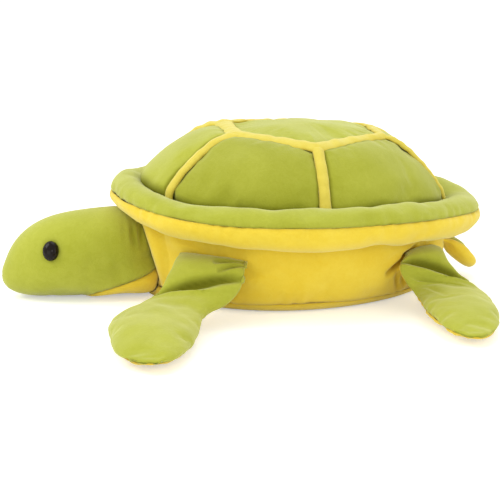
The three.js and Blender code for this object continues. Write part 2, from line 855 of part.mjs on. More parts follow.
// Limbs: sections of a flattened, pinched and rounded pouch along a line that drops to the floor
function limbSections(limb, shares) {
  const place = placeOfAngle(limb.rootAngle);
  const frame = frameAt(place);
  const { topHeight } = bodyProfile(place, 1);
  const { inset } = bodyProfile(place, limb.rootHeight / topHeight);
  const rootForward = frame.forward - frame.outForward * inset;
  const rootLeft = frame.left - frame.outLeft * inset;
  const outward = Math.atan2(frame.outLeft, frame.outForward);
  const centres = shares.station.map((station, i) => {
    const level = limb.restHeight + limb.halfThickness * shares.level[i];
    return at(
      rootForward + Math.cos(limb.aim) * station * limb.length + limb.forwardReach * shares.reach[i],
      rootLeft + Math.sin(limb.aim) * station * limb.length,
      mix(level, limb.rootHeight, shares.drop[i]),
    );
  });
  return centres.map((centre, i) => {
    const next = centres[Math.min(i + 1, centres.length - 1)];
    const along = next.clone().sub(centres[Math.max(i - 1, 0)]);
    const turned = mix(limb.aim, outward, shares.turning[i]) + quarterTurn;
    const chord = at(Math.cos(turned), Math.sin(turned), 0);
    const up = along.cross(chord).normalize();
    if (up.z < 0) {
      up.negate();
    }
    const isTip = shares.rounding[i] === 0;
    return {
      centre,
      chord,
      up,
      halfChord: mix(limb.rootHalfChord, limb.halfChord, shares.widening[i]) * shares.rounding[i],
      halfThickness: isTip ? 0 : mix(pinchedHalfThickness, limb.halfThickness, shares.thickness[i]),
    };
  });
}

function limbHeight(section, across) {
  const lens = Math.max(0, 1 - Math.abs(across) ** limbEdgeFullness) ** limbEdgeRoundness;
  return section.halfThickness * lens;
}

function limbRow(section, widthShare, heightAt) {
  return Array.from({ length: limbSpans + 1 }, (unused, i) => {
    const across = -widthShare * Math.cos((i * halfTurn) / limbSpans);
    const spot = section.centre.clone().addScaledVector(section.chord, across * section.halfChord);
    return spot.addScaledVector(section.up, heightAt(across));
  });
}

// One side of a limb's cloth: side is 1 for its top and -1 for its underside
function limbCover(sections, side) {
  const layer = (isInner) => sections.map((section) => limbRow(section, 1, (across) => {
    const height = limbHeight(section, across);
    const wall = isInner ? Math.min(clothThickness, limbWallShare * height) : 0;
    return side * (height - wall + seamGap / 2);
  }));
  const cover = toManifold(cloth(layer(false), layer(true)));
  return fromManifold(largestPiece(cover.subtract(toManifold(bodySpace()))));
}

function limbFilling(sections) {
  const filled = sections.filter((section) => (
    limbHeight(section, limbFillingShare) > fillDepth + seamGap
  ));
  const layer = (side) => filled.map((section) => limbRow(section, limbFillingShare, (across) => (
    side * (limbHeight(section, across) - fillDepth)
  )));
  return cloth(layer(1), layer(-1));
}

// Assembly
const turtle = new THREE.Group();
const torso = new THREE.Group();
const head = new THREE.Group();
turtle.add(torso, head);

function addPiece(parent, name, geometry, finish) {
  const piece = new THREE.Mesh(geometry, new THREE.MeshStandardMaterial(finish));
  piece.name = name;
  parent.add(piece);
  return piece;
}

function withSocket(geometry) {
  return fromManifold(largestPiece(toManifold(geometry).subtract(neckSocket())));
}

addPiece(torso, 'belly_panel', bellyPanel(), yellowPlush);
addPiece(torso, 'body_side_band', withSocket(sideBand()), yellowPlush);
addPiece(torso, 'torso_stuffing', withSocket(torsoFilling()), filling);
addPiece(torso, 'rim_top_cover', rimCover(true), greenPlush);
addPiece(torso, 'rim_lower_cover', rimCover(false), yellowPlush);
addPiece(torso, 'rim_stuffing', rimFilling(), filling);
addPiece(torso, 'shell_top_panel', topPanel(), greenPlush);
addPiece(torso, 'shell_border_ribbon', borderRibbon(), yellowPlush);

const panelNames = ['left_front', 'left_rear', 'rear', 'right_rear', 'right_front', 'front'];
const ribbonNames = ['left_front', 'left_side', 'left_rear', 'right_rear', 'right_side', 'right_front'];
for (let panel = 0; panel < panelCount; panel += 1) {
  addPiece(torso, `shell_panel_${panelNames[panel]}`, sidePanel(panel), greenPlush);
  addPiece(torso, `shell_ribbon_${ribbonNames[panel]}`, sideRibbon(panel), yellowPlush);
}

const headGeometry = headPieces();
addPiece(head, 'head_cover', headGeometry.cover, greenPlush);
addPiece(head, 'throat_panel', headGeometry.throat, yellowPlush);
addPiece(head, 'head_stuffing', headGeometry.stuffing, filling);
for (const [side, place] of Object.entries(eyePlaces)) {
  const eye = addPiece(head, `eye_${side}`, eyeSolid(), glossyEye);
  const washer = addPiece(head, `eye_washer_${side}`, eyeWasher(), washerPlastic);
  place.decompose(eye.position, eye.quaternion, eye.scale);
  place.decompose(washer.position, washer.quaternion, washer.scale);
}

function limbPieces(limb, shares) {
  const sections = limbSections(limb, shares);
  return {
    top: [limbCover(sections, 1), greenPlush],
    underside: [limbCover(sections, -1), yellowPlush],
    stuffing: [limbFilling(sections), filling],
  };
}

const flippers = {
  front: limbPieces(frontFlipper, frontFlipperShares),
  rear: limbPieces(rearFlipper, rearFlipperShares),
};
for (const [end, pieces] of Object.entries(flippers)) {
  const left = new THREE.Group();
  const right = new THREE.Group();
  turtle.add(left, right);
  for (const [part, [geometry, finish]] of Object.entries(pieces)) {
    addPiece(left, `${end}_flipper_${part}_left`, geometry, finish);
    addPiece(right, `${end}_flipper_${part}_right`, mirrored(geometry), finish);
  }
}

const tailGroup = new THREE.Group();
turtle.add(tailGroup);
for (const [part, [geometry, finish]] of Object.entries(limbPieces(tail, tailShares))) {
  addPiece(tailGroup, `tail_${part}`, geometry, finish);
}

export default turtle;
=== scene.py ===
"""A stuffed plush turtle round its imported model, in metres: -X is forward, -Y is its left and Z is up."""

import math

import bmesh
import bpy
import numpy as np
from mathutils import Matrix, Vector

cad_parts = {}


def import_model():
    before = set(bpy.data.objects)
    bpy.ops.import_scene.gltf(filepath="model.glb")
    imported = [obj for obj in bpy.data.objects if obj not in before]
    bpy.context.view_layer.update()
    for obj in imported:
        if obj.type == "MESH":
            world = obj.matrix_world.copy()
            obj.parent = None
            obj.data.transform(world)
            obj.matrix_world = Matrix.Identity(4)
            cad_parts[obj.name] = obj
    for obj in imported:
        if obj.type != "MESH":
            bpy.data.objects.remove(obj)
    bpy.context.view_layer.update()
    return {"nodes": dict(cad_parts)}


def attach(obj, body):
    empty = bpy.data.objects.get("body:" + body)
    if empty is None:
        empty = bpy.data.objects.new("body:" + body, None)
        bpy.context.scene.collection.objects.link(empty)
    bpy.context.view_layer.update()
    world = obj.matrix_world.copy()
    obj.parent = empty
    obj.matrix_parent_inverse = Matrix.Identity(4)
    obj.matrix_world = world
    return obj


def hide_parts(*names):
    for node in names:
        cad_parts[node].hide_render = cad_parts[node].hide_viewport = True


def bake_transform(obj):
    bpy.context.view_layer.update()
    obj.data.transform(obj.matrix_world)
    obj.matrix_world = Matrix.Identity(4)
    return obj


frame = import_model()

TINY = 1e-9
WELD_DISTANCE = 1e-6
SHORTEST_EDGE = 1e-7
DEGREE = math.pi / 180
NORMAL_STEP = 0.01

# Whether the rows and the columns of a grid of points wrap round
SHEET = (False, False)
RING = (True, False)
DISC = (False, True)

# Cloth; here and below, gathers are given as height, spacing and reach, and lumps as heights with wavelengths
CLOTH_THICKNESS = 0.0016
SEAM_DEPTH = 0.0022
SEAM_WIDTH = 0.0026
# Painted shade along seams: how dark it is and how wide
SEAM_SHADE_SHARE = 0.3
SEAM_SHADE_WIDTH = 0.0016
FLOOR_CLEARANCE = 0.0004
LUMP_WAVES = 14
LUMP_STRETCH = (0.75, 1.5)
RIPPLE_WAVES = 7
RIPPLE_STRETCH = (0.6, 1.6)
GATHER_STEADY_SHARE = 0.6
GATHER_SWING = 9

# Seeds of the random draws; side panels, their ribbons and the limbs' roots add their number to theirs
RIM_UPPER_SEED = 1
RIM_LOWER_SEED = 2
RIM_LUMP_SEED_STEP = 5
PANEL_SIDE_SEED = 20
PANEL_TOP_SEED = 40
PANEL_LUMP_SEED = 60
PANEL_LUMP_SEED_STEP = 10
RIBBON_WIDTH_SEED = 80
RIBBON_SEED = 90
TOP_GATHER_SEED = 120
TOP_LUMP_SEED = 121
BORDER_SEED = 130
PUCKER_SEED = 150
BODY_GATHER_SEED = 160
BODY_LUMP_SEED = 161
HEAD_SEED = 200
THROAT_SEED = 210
HEAD_LUMP_SEED_STEP = 3
LIMB_LUMP_SEED_STEP = 4

# Cloth simulation
SIM_FRAMES = 20
SIM_PRESSURE = 4.0
SIM_SPACING = 0.005
SIM_FEWEST_STEPS = 6
SIM_SLACK = -0.012
SIM_LIMIT = 0.003
SIM_ROOM = 0.0012
SIM_ROOM_REACH = 0.02
POLE_WIDTH = 1e-4

# Shell rim
RIM_HALF_LENGTH = 0.1625
RIM_HALF_WIDTH = 0.132
RIM_FRONT_WIDENING = 0.08
RIM_RADIUS = 0.0205
RIM_FRONT_SLIMMING = 0.15
RIM_SLIMMING_FROM = 0.72
RIM_SLIMMING_TO = 0.90
RIM_REAR_SLIMMING = 0.08
RIM_REAR_SLIMMING_NARROWNESS = 5
RIM_FRONT_LEAD = 0.003
RIM_FRONT_LEAD_NARROWNESS = 12
RIM_MID_HEIGHT = 0.0868
RIM_FRONT_RISE = 0.0035
RIM_END_RISE = 0.0095
RIM_FRONT_PEAK = 6
RIM_REAR_PEAK = 3
RIM_OUTER_SEAM = 15 * DEGREE
RIM_SEAM_FRONT_DROP = 12 * DEGREE
RIM_SEAM_DROP_NARROWNESS = 30
RIM_INNER_SEAM = 187 * DEGREE
RIM_SEAM_SHARE = 0.6
RIM_GATHERS = (0.0007, 0.012, 0.008)
RIM_LUMPS = [(0.0009, 0.06), (0.0004, 0.025)]
RIM_STEPS = 440
RIM_ARC_STEPS = 34
RIM_ARC_CROWDING = 0.12

# Dome: corners of the top panel as forward, left, height, and side panels from the left front round the tail
HEX_FRONT = (0.0685, 0.036, 0.1585)
HEX_FLANK = (-0.003, 0.074, 0.151)
HEX_REAR = (-0.078, 0.028, 0.1512)
CROWN = (-0.002, 0.0, 0.161)
DOME_ROUNDNESS = 1.35
DOME_REAR_FLATTENING = 0.12
DOME_FLATTENING_NARROWNESS = 8
DOME_SEAT = 154 * DEGREE
SEAT_GAP = 0.0003
STEADY_FROM = 4 * DEGREE
STEADY_TO = 86 * DEGREE
SIDES = 6
PANELS = ["left_front", "left_rear", "rear", "right_rear", "right_front", "front"]
REAR_PANEL = 2
FRONT_PANEL = 5
PANEL_PUFF = 0.0065
REAR_PANEL_PUFF = 0.0005
FRONT_FOOT_PUFF = 0.006
FRONT_FOOT_HEIGHT = 0.016
PANEL_PILLOW = 0.0022
PILLOW_REACH = 0.011
PANEL_DIP = 0.0022
PANEL_DIP_WIDTH = 0.006
FOOT_DIP = 0.0035
FOOT_DIP_WIDTH = 0.006
RIDGED_SEAMS = (0, 2, 3, 5)
RIDGE_RISE = 0.0032
RIDGE_WIDTH = 0.016
RIDGE_FOOT = 18 * DEGREE
RIDGE_TOP = 62 * DEGREE
RIDGE_TOP_RUN = 24 * DEGREE
PANEL_TOP_GAP = 0.0005
PANEL_SIDE_GATHERS = (0.0006, 0.012, 0.010)
PANEL_TOP_GATHERS = (0.0008, 0.014, 0.012)
PANEL_LUMPS = [(0.0010, 0.065), (0.0004, 0.028)]
# Painted shade on the panels beside their ribbons, under the top panel's edge and at their foot: its darkness
# and widths
PANEL_SHADE_SHARE = 0.8
SIDE_CREASE_WIDTH = 0.002
TOP_CREASE_WIDTH = 0.003
FOOT_CREASE_WIDTH = 0.006
PANEL_ROWS = 64
PANEL_ROW_CROWDING = 1.15
PANEL_COLUMNS = 72
PANEL_COLUMN_CROWDING = 0.1

# How much painted shade darkens each whole side panel, most on the front flanks, in place of less light
# falling on them
PANEL_PAINTED_SHADE_SHARES = [0.22, 0.14, 0.0, 0.14, 0.22, 0.0]

# Top panel
TOP_PILLOW = 0.0026
TOP_FULLNESS = 2.7
TOP_ROOM = 0.0028
TOP_GATHERS = (0.0006, 0.013, 0.010)
TOP_LUMPS = [(0.0007, 0.05)]
TOP_EDGE_CREASE_WIDTH = 0.0022
TOP_EDGE_STEP = 0.0011
TOP_ROWS = 45
TOP_ROW_CROWDING = 1.3
HEX_STEPS = 66

# Ribbons, from the left front seam round the tail, and the border round the top panel
RIBBONS = ["left_front", "left_side", "left_rear", "right_rear", "right_side", "right_front"]
RIBBON_ANGLES = [angle * DEGREE for angle in (26, 91.5, 165, 195, 268.5, 334)]
RIBBON_FLARE_SHARES = [1.7, 0.35, 0.35, 0.35, 0.35, 1.7]
RIBBON_FLARE_LENGTH = 0.014
RIBBON_HALF = 0.005
RIBBON_RISE = 0.0014
RIBBON_CROWN = 0.0014
RIBBON_EDGE_TUCK = 0.0016
RIBBON_EDGE_SHARPNESS = 8
RIBBON_TOP_GAP = 0.0035
RIBBON_WIDTH_RIPPLES = (0.03, 0.035)
RIBBON_RIPPLES = (0.0003, 0.016)
# Painted shade at the ribbons' edges, where they tuck into the panels
RIBBON_EDGE_SHADE_SHARE = 0.5
RIBBON_CREASE_SHARPNESS = 10
RIBBON_STEPS = 130
RIBBON_COLUMNS = 14
STITCH_SPACING = 0.0032
STITCH_DEPTH = 0.00035
STITCH_LINE_SHARE = 0.72
STITCH_WIDTH_SHARE = 0.09
BORDER_HALF = 0.0068
BORDER_FLARE = 0.7
BORDER_FLARE_LENGTH = 0.026
BORDER_LIFT = 0.0004
BORDER_RIPPLES = (0.0004, 0.02)
BORDER_SMOOTHING = 6

# Body
BODY_FLOOR_INSET = 0.043
BODY_SIDE_INSET = 0.0163
BODY_FRONT_FLOOR_INSET = 0.016
BODY_FRONT_SIDE_INSET = 0.0185
BODY_FRONT_NARROWNESS = 20
BODY_WIDEST_SHARE = 0.55
BODY_ROUNDNESS = 2.2
BODY_MEAN_RADIUS = 0.13
BODY_GATHERS = (0.0005, 0.013, 0.010)
BODY_LUMPS = [(0.0012, 0.07), (0.0005, 0.03)]
BODY_STEPS = 480
BAND_SEAT = 212 * DEGREE
BAND_RUN = 0.07
BAND_ROWS = 52
BELLY_SEAM_SHARE = 0.12
BELLY_SEAM_DEPTH = 0.0008
BELLY_TURN_SHARE = 0.03
BELLY_DRAW_SHARE = 0.006
BELLY_CREASE_SHARPNESS = 4
BELLY_MIDDLE_HEIGHT = 0.04
BELLY_ROWS = 25
BELLY_TURN_ROWS = 10
PUCKER_DEPTH = 0.0010
PUCKER_RING = 1.1
PUCKER_WIDTH_SHARE = 0.6
PUCKER_COUNT = 9
PUCKER_WANDER = 2
PUCKER_WANDER_LENGTH = 0.04

# Creases of the body's wall where the rear flippers pull on it: depth, width, and forward, left and height
# of their points
WALL_CREASES = [
    (0.0050, 0.0022, [
        (-0.098, 0.080, 0.053), (-0.086, 0.0885, 0.047), (-0.078, 0.093, 0.041), (-0.066, 0.099, 0.034),
    ]),
    (0.0020, 0.0020, [(-0.076, 0.094, 0.036), (-0.0775, 0.091, 0.023), (-0.0815, 0.083, 0.010)]),
    (0.0014, 0.0020, [(-0.083, 0.090, 0.034), (-0.086, 0.086, 0.020), (-0.089, 0.080, 0.010)]),
]
WALL_CREASE_ENDS = (0.15, 0.90)
WALL_RIDGE_SHARE = 0.3
WALL_RIDGE_PLACE = 2.6
WALL_RIDGE_WIDTH = 1.4
# Painted shade in the wall's creases, by how far they are drawn in
WALL_CREASE_SHADE = 300

# The body's cloth round the neck
COLLAR_FORWARD = 0.1495
COLLAR_HEIGHT = 0.0497
COLLAR_LEAN = 0.28
COLLAR_RADIUS = 0.038
COLLAR_ROLL = 0.012
COLLAR_BACK = 0.118

# Head; each curve is given as the powers of a rounded taper from the neck to the nose
NECK_RADIUS = 0.0425
NECK_FORWARD = 0.182
NECK_HEIGHT = 0.0431
NECK_SQUARENESS = 6
NECK_SIDE_SQUARENESS = 1.1
NECK_SQUARE_REACH = 0.6
NECK_BEND_START = 0.152
NECK_BEND_END = 0.190
SOCKET_CLEARANCE = 0.0006
HEAD_LENGTH = 0.108
HEAD_TOP_CURVE = (2.6, 1.9)
HEAD_BOTTOM_CURVE = (5, 2.2)
HEAD_SIDE_CURVE = (2.2, 2)
NOSE_HEIGHT = 0.022
HEAD_MIDDLE_FORWARD_SHARE = 0.3
HEAD_MIDDLE_HEIGHT_SHARE = 0.9
HEAD_SEAM_SHARE = 0.8
HEAD_SEAM_CREASE_WIDTH = 0.002
HEAD_GATHERS = (0.0005, 0.012, 0.008)
HEAD_LUMPS = [(0.0007, 0.05)]
HEAD_LUMPS_FROM = 0.15
HEAD_LUMPS_RUN = 0.03
HEAD_BACK_START = 0.02
HEAD_BACK_ROWS = 29
HEAD_FRONT_ROWS = 71
HEAD_COLUMNS = 120
THROAT_COLUMNS = 40
THROAT_LENGTH = 0.032
THROAT_RISE = 0.031
THROAT_BEHIND = 0.044
THROAT_CURVE = 0.87
SEAM_HALVINGS = 30
NO_SEAM_NEAR = 0.02

# Upright creases ahead of where the head is sewn to the body: forward place, depth and height of each
NECK_CREASES = [(0.162, 0.0030, 0.064), (0.1545, 0.0024, 0.062), (0.170, 0.0010, 0.069)]
NECK_CREASE_WIDTH = 0.0021
NECK_CREASE_REACH = 0.010
NECK_CREASE_LEVEL = 0.06
NECK_CREASE_LEAN = 0.12
NECK_CREASE_BEND = 0.1
# Painted shade in the neck creases, from how deep they are
NECK_CREASE_SHADE = 260
NECK_CREASE_DARK_FROM = 0.0008

# Eyes; shares are of the eye's half width across and of its dome's height outward
EYE_FORWARD = 0.062
EYE_HEIGHT = 0.0525
EYE_HALF_WIDTH = 0.0075
EYE_HALF_HEIGHT = 0.0095
EYE_DOME = 0.0062
EYE_SINK = 0.00024
EYE_INSIDE = 0.001
EYE_BACK_SHARE = -0.5
EYE_FLAT_SHARE = 0.9
EYE_EDGE_SHARE = 0.2
EYE_FRONT_SHARE = 0.06
EYE_FRONT_ROUNDNESS = 0.9
EYE_EDGE_START = 0.3
EYE_EDGE_STEPS = 4
EYE_FRONT_STEPS = 21
EYE_TURNS = 64
SOCKET_DEPTH = 0.0016
SOCKET_EDGE_SHARE = 0.75
SOCKET_WIDTH_SHARE = 0.4
SOCKET_REACH = 0.02

# Flippers and tail; a fold has its start and end as distances along and across the limb, the depth and
# width of its crease and the height and width of the ridge beyond it; a notch has its edge, its place and
# width as shares of the length, and its depth as a share of the half chord
PINCHED = 0.0012
LIMB_CLOTH_THICKNESS = 0.0012
LIMB_EDGE_ROUNDNESS = 0.86
LIMB_TIP_CURVE = (2.4, 0.52, 0.9)
LIMB_BEND_SHARE = 0.16
LIMB_INSIDE = 0.004
LIMB_FULL_THICKNESS = 0.006
LIMB_SEAM_DEPTH = 0.0016
LIMB_SEAM_WIDTH = 0.0022
# Painted shade along the limbs' seams
LIMB_SEAM_SHADE_SHARE = 0.6
LIMB_EDGE_SHARE = 0.35
LIMB_EDGE_LINE_SHARE = 0.9
LIMB_GATHERS = (0.0006, 0.012, 0.008)
LIMB_LUMPS = [(0.0008, 0.05), (0.0003, 0.02)]
LIMB_ROWS = 170
LIMB_ROW_CROWDING = 0.25
LIMB_COLUMNS = 90
FOLD_ENDS = (0.08, 0.92)
FOLD_END_SHARE = 0.45
FOLD_BLUNTNESS = 0.0006
FOLD_BLUNTNESS_SQUARE = 4e-7
FOLD_RIDGE_PLACE = 1.1
FOLD_RIDGE_WIDTH = 0.6
FOLD_EDGE_FADE = 0.5
# Painted shade in the folds' creases, from how deep they are
FOLD_SHADE = 170
FOLD_DARK_FROM = 0.2
FLIPPER_SHARES = {
    "station": [-0.03, 0, 0.05, 0.1, 0.15, 0.2, 0.28, 0.4, 0.54, 0.68, 0.8, 0.9, 1],
    "thickness": [0.1, 0.2, 0.5, 0.72, 0.66, 0.5, 0.74, 0.96, 1, 0.98, 0.92, 0.84, 0.74],
    "drop": [1, 1, 0.97, 0.84, 0.58, 0.3, 0.12, 0.03, 0, 0, 0, 0, 0],
    "level": [1, 1, 1, 1, 1, 1, 1, 1, 1, 0.98, 0.93, 0.86, 0.76],
    "turning": [1, 1, 0.9, 0.75, 0.55, 0.35, 0.15, 0, 0, 0, 0, 0, 0],
    "tip_start": 0.42,
}
FRONT_FLIPPER = {
    "name": "front_flipper",
    "seed": 300,
    "mirrors": {"_left": 1, "_right": -1},
    "root_angle": 48.4 * DEGREE,
    "root_height": 0.053,
    "root_half_chord": 0.035,
    "aim": 75 * DEGREE,
    "reach": 0.043,
    "length": 0.172,
    "half_chord": 0.0415,
    "half_thickness": 0.014,
    "rest": 0.0006,
    "seams": (-34 * DEGREE, -34 * DEGREE),
    "shares": {
        **FLIPPER_SHARES,
        "widening": [0, 0, 0, 0, 0.12, 0.28, 0.68, 1, 1, 1, 1, 1, 1],
        "reach": [0, 0, 0.02, 0.06, 0.14, 0.3, 0.72, 0.98, 1, 0.97, 0.9, 0.84, 0.76],
        "notches": [(1, 0.27, 0.09, 0.20), (-1, 0.66, 0.16, 0.12)],
    },
    "folds": [
        ((0.0355, -0.040), (0.0205, 0.040), 0.0095, 0.0027, 0.0028, 0.0056),
        ((0.004, 0.034), (0.013, 0.008), 0.0044, 0.0016, 0.0014, 0.0030),
        ((0.009, 0.036), (0.019, 0.014), 0.0042, 0.0016, 0.0014, 0.0028),
        ((0.046, 0.030), (0.034, 0.038), 0.0020, 0.0020, 0.0008, 0.0030),
    ],
}
REAR_FLIPPER = {
    "name": "rear_flipper",
    "seed": 320,
    "mirrors": {"_left": 1, "_right": -1},
    "root_angle": 135.3 * DEGREE,
    "root_height": 0.048,
    "root_half_chord": 0.025,
    "aim": 84 * DEGREE,
    "reach": -0.0245,
    "length": 0.16,
    "half_chord": 0.0345,
    "half_thickness": 0.013,
    "rest": 0.0006,
    "seams": (-6 * DEGREE, -24 * DEGREE),
    "shares": {
        **FLIPPER_SHARES,
        "widening": [0, 0, 0.22, 0.5, 0.62, 0.66, 0.82, 0.98, 1, 1, 1, 1, 1],
        "reach": [0, 0, 0.03, 0.09, 0.25, 0.51, 0.79, 0.95, 1, 0.99, 0.97, 0.93, 0.85],
        "notches": [(1, 0.13, 0.06, 0.24), (1, 0.62, 0.3, 0.12), (-1, 0.10, 0.06, -0.18)],
    },
    "folds": [
        ((0.012, -0.034), (0.034, 0.036), 0.0095, 0.0026, 0.0030, 0.0050),
        ((0.024, -0.030), (0.050, 0.020), 0.0034, 0.0020, 0.0014, 0.0036),
        ((0.046, -0.022), (0.074, -0.014), 0.0016, 0.0024, 0.0006, 0.0040),
    ],
}
TAIL = {
    "name": "tail",
    "seed": 340,
    "mirrors": {"": 1},
    "root_angle": math.pi,
    "root_height": 0.041,
    "root_half_chord": 0.015,
    "aim": math.pi,
    "reach": 0.0,
    "length": 0.038,
    "half_chord": 0.019,
    "half_thickness": 0.01,
    "rest": 0.003,
    "seams": (62 * DEGREE, 62 * DEGREE),
    "shares": {
        "station": [-0.12, 0, 0.2, 0.45, 0.7, 0.9, 1],
        "thickness": [0.1, 0.2, 0.55, 0.95, 1, 0.95, 0.85],
        "widening": [0, 0, 0.5, 0.9, 1, 1, 1],
        "drop": [1, 1, 0.88, 0.6, 0.28, 0.08, 0],
        "level": [1, 1, 1, 1, 1, 0.95, 0.9],
        "turning": [0, 0, 0, 0, 0, 0, 0],
        "reach": [0, 0, 0, 0, 0, 0, 0],
        "tip_start": 0.5,
        "notches": [],
    },
    "folds": [],
}
LIMBS = [FRONT_FLIPPER, REAR_FLIPPER, TAIL]

# Materials
PRINCIPLED = "Principled BSDF"
PATCH_SHARE = 0.6
FIBRE_LIGHT_SHARE = 0.25
CREASE_SHADE_SHARE = 0.9
PLUSH_SHEEN = 0.6
TUFT_BUMP = 0.5
FIBRE_BUMP = 0.35
BRUSHED_BUMP = 0.5
EYE_ROUGHNESS = 0.22

# Floor, light and camera; each softbox has its place, size and power
FLOOR_HALF = 8.0
FLOOR_GLOW = 0.42
WORLD_STRENGTH = 0.68
LIGHT_AIM = Vector((0, 0, 0.08))
SOFTBOXES = {
    "key_light": ((-1.3, 0.0, 1.2), 1.0, 12),
    "top_light": ((0.3, 0.3, 1.7), 1.2, 7),
    "low_light": ((-1.2, -1.4, 0.12), 1.2, 5.2),
    "eye_light": ((-0.25, -1.3, 0.55), 0.12, 1.2),
    "right_light": ((1.4, -0.9, 0.5), 1.0, 7),
}
CAMERA_PLACE = Vector((-0.3005, -1.4139, 0.4009))
CAMERA_RANGE = (0.05, 50)
FOCAL_PIXELS = 1500
PICTURE_PIXELS = 500
ORIGIN_ACROSS_PIXELS = 46.8
ORIGIN_BELOW_PIXELS = 33.0
SENSOR_MM = 36.0


# Points and noise


def place(forward, left, height):
    """Points from their distances forward, to the left and up."""
    forward, left, height = np.broadcast_arrays(forward, left, height)
    return np.stack([-forward, -left, height], axis=-1).astype(float)


def mix(low, high, share):
    return low + (high - low) * share


def length(vectors):
    return np.linalg.norm(vectors, axis=-1)


def unit(vectors):
    """Vectors made 1 long; one without a length stays zero."""
    return vectors / np.maximum(length(vectors), TINY)[..., None]


def steps(count):
    return np.linspace(0, 1, count + 1)


def crowded(count, amount, cycles=1):
    """Steps from 0 to 1 that crowd together at the ends of each cycle."""
    share = steps(count)
    return share - amount * np.sin(2 * math.pi * cycles * share) / (math.pi * cycles)


def turns(count):
    """Even steps all the way round, as a column of angles."""
    return np.linspace(0, 2 * math.pi, count, endpoint=False)[:, None]


def smooth_step(share):
    share = np.clip(share, 0, 1)
    return share * share * (3 - 2 * share)


def bell(distance, width):
    """1 on a line, falling to nothing a couple of widths away."""
    return np.exp(-((distance / width) ** 2))


def lumps(points, wavelength, seed):
    """Soft irregular lumps of about a wavelength, between about -1 and 1, by adding plane waves."""
    rng = np.random.default_rng(seed)
    total = np.zeros(points.shape[:-1])
    for _ in range(LUMP_WAVES):
        direction = rng.normal(size=3)
        direction /= np.linalg.norm(direction)
        stretch = rng.uniform(*LUMP_STRETCH)
        phase = rng.uniform(0, 2 * math.pi)
        total += np.sin(points @ direction * 2 * math.pi / (wavelength * stretch) + phase)
    return total / math.sqrt(LUMP_WAVES)


def lumpy(points, forms, seed, seed_step=1):
    """Lumps of several heights and wavelengths, added up."""
    total = 0
    for number, (height, wavelength) in enumerate(forms):
        total = total + height * lumps(points, wavelength, seed + seed_step * number)
    return total


def ripples(along, wavelength, seed):
    """Irregular ripples along a line, between about -1 and 1."""
    rng = np.random.default_rng(seed)
    total = np.zeros(np.shape(along))
    for _ in range(RIPPLE_WAVES):
        stretch = rng.uniform(*RIPPLE_STRETCH)
        total += np.sin(along * 2 * math.pi / (wavelength * stretch) + rng.uniform(0, 2 * math.pi))
    return total / math.sqrt(RIPPLE_WAVES)


def gathers(along, away, form, seed):
    """Small gathers that run out from a seam and die away from it."""
    height, spacing, reach = form
    strength = mix(ripples(along, GATHER_SWING * spacing, seed + 1), 1, GATHER_STEADY_SHARE)
    return height * ripples(along, spacing, seed) * strength * np.exp(-away / reach)


def smooth_table(stations, values, at):
    """Values between the stations of a table, by a curve that never overshoots them."""
    x, y = np.array(stations, float), np.array(values, float)
    runs = np.diff(x)
    slopes = np.diff(y) / runs
    tangents = np.zeros_like(y)
    same_way = slopes[:-1] * slopes[1:] > 0
    before, after = slopes[:-1][same_way], slopes[1:][same_way]
    tangents[1:-1][same_way] = 2 * before * after / (before + after)
    tangents[0], tangents[-1] = slopes[0], slopes[-1]
    i = np.clip(np.searchsorted(x, at) - 1, 0, len(runs) - 1)
    t = (at - x[i]) / runs[i]
    return (
        y[i] * (1 + 2 * t) * (1 - t) ** 2
        + tangents[i] * runs[i] * t * (1 - t) ** 2
        + y[i + 1] * t * t * (3 - 2 * t)
        + tangents[i + 1] * runs[i] * t * t * (t - 1)
    )


# Surfaces of the rim and the dome


def at_front(angle):
    """1 at the head end, falling to 0 at the tail end."""
    return (1 + np.cos(angle)) / 2


def rim_frame(angle):
    """The rim's middle line, outward direction, height and radius, and how far in from it the body lies."""
    cosine, sine, front = np.cos(angle), np.sin(angle), at_front(angle)
    widening = 1 + RIM_FRONT_WIDENING * cosine
    along_forward = -RIM_HALF_LENGTH * sine
    along_left = RIM_HALF_WIDTH * (cosine * widening - RIM_FRONT_WIDENING * sine**2)
    speed = np.hypot(along_forward, along_left)
    out_forward, out_left = along_left / speed, -along_forward / speed
    lead = RIM_FRONT_LEAD * front**RIM_FRONT_LEAD_NARROWNESS
    slim = smooth_step((front - RIM_SLIMMING_FROM) / (RIM_SLIMMING_TO - RIM_SLIMMING_FROM))
    rear_slim = (1 - front) ** RIM_REAR_SLIMMING_NARROWNESS
    end = np.where(cosine > 0, cosine**RIM_FRONT_PEAK, cosine**RIM_REAR_PEAK)
    under_head = front**BODY_FRONT_NARROWNESS
    return {
        "forward": RIM_HALF_LENGTH * cosine + out_forward * lead,
        "left": RIM_HALF_WIDTH * sine * widening + out_left * lead,
        "out_forward": out_forward,
        "out_left": out_left,
        "height": RIM_MID_HEIGHT + RIM_FRONT_RISE * cosine + RIM_END_RISE * end,
        "radius": RIM_RADIUS * (1 - RIM_FRONT_SLIMMING * slim - RIM_REAR_SLIMMING * rear_slim),
        "side_inset": mix(BODY_SIDE_INSET, BODY_FRONT_SIDE_INSET, under_head),
        "floor_inset": mix(BODY_FLOOR_INSET, BODY_FRONT_FLOOR_INSET, under_head),
    }


def out_from(angle, offset, height):
    f = rim_frame(angle)
    return place(f["forward"] + f["out_forward"] * offset, f["left"] + f["out_left"] * offset, height)


def roll_point(angle, clear, direction):
    """A point clear of the roll's surface, in a direction counted up from straight out."""
    f = rim_frame(angle)
    radius = f["radius"] + clear
    return out_from(angle, radius * np.cos(direction), f["height"] + radius * np.sin(direction))


def outer_seam(angle):
    """The direction of the rim's outer seam, which lies lower round the head end."""
    return RIM_OUTER_SEAM - RIM_SEAM_FRONT_DROP * at_front(angle) ** RIM_SEAM_DROP_NARROWNESS


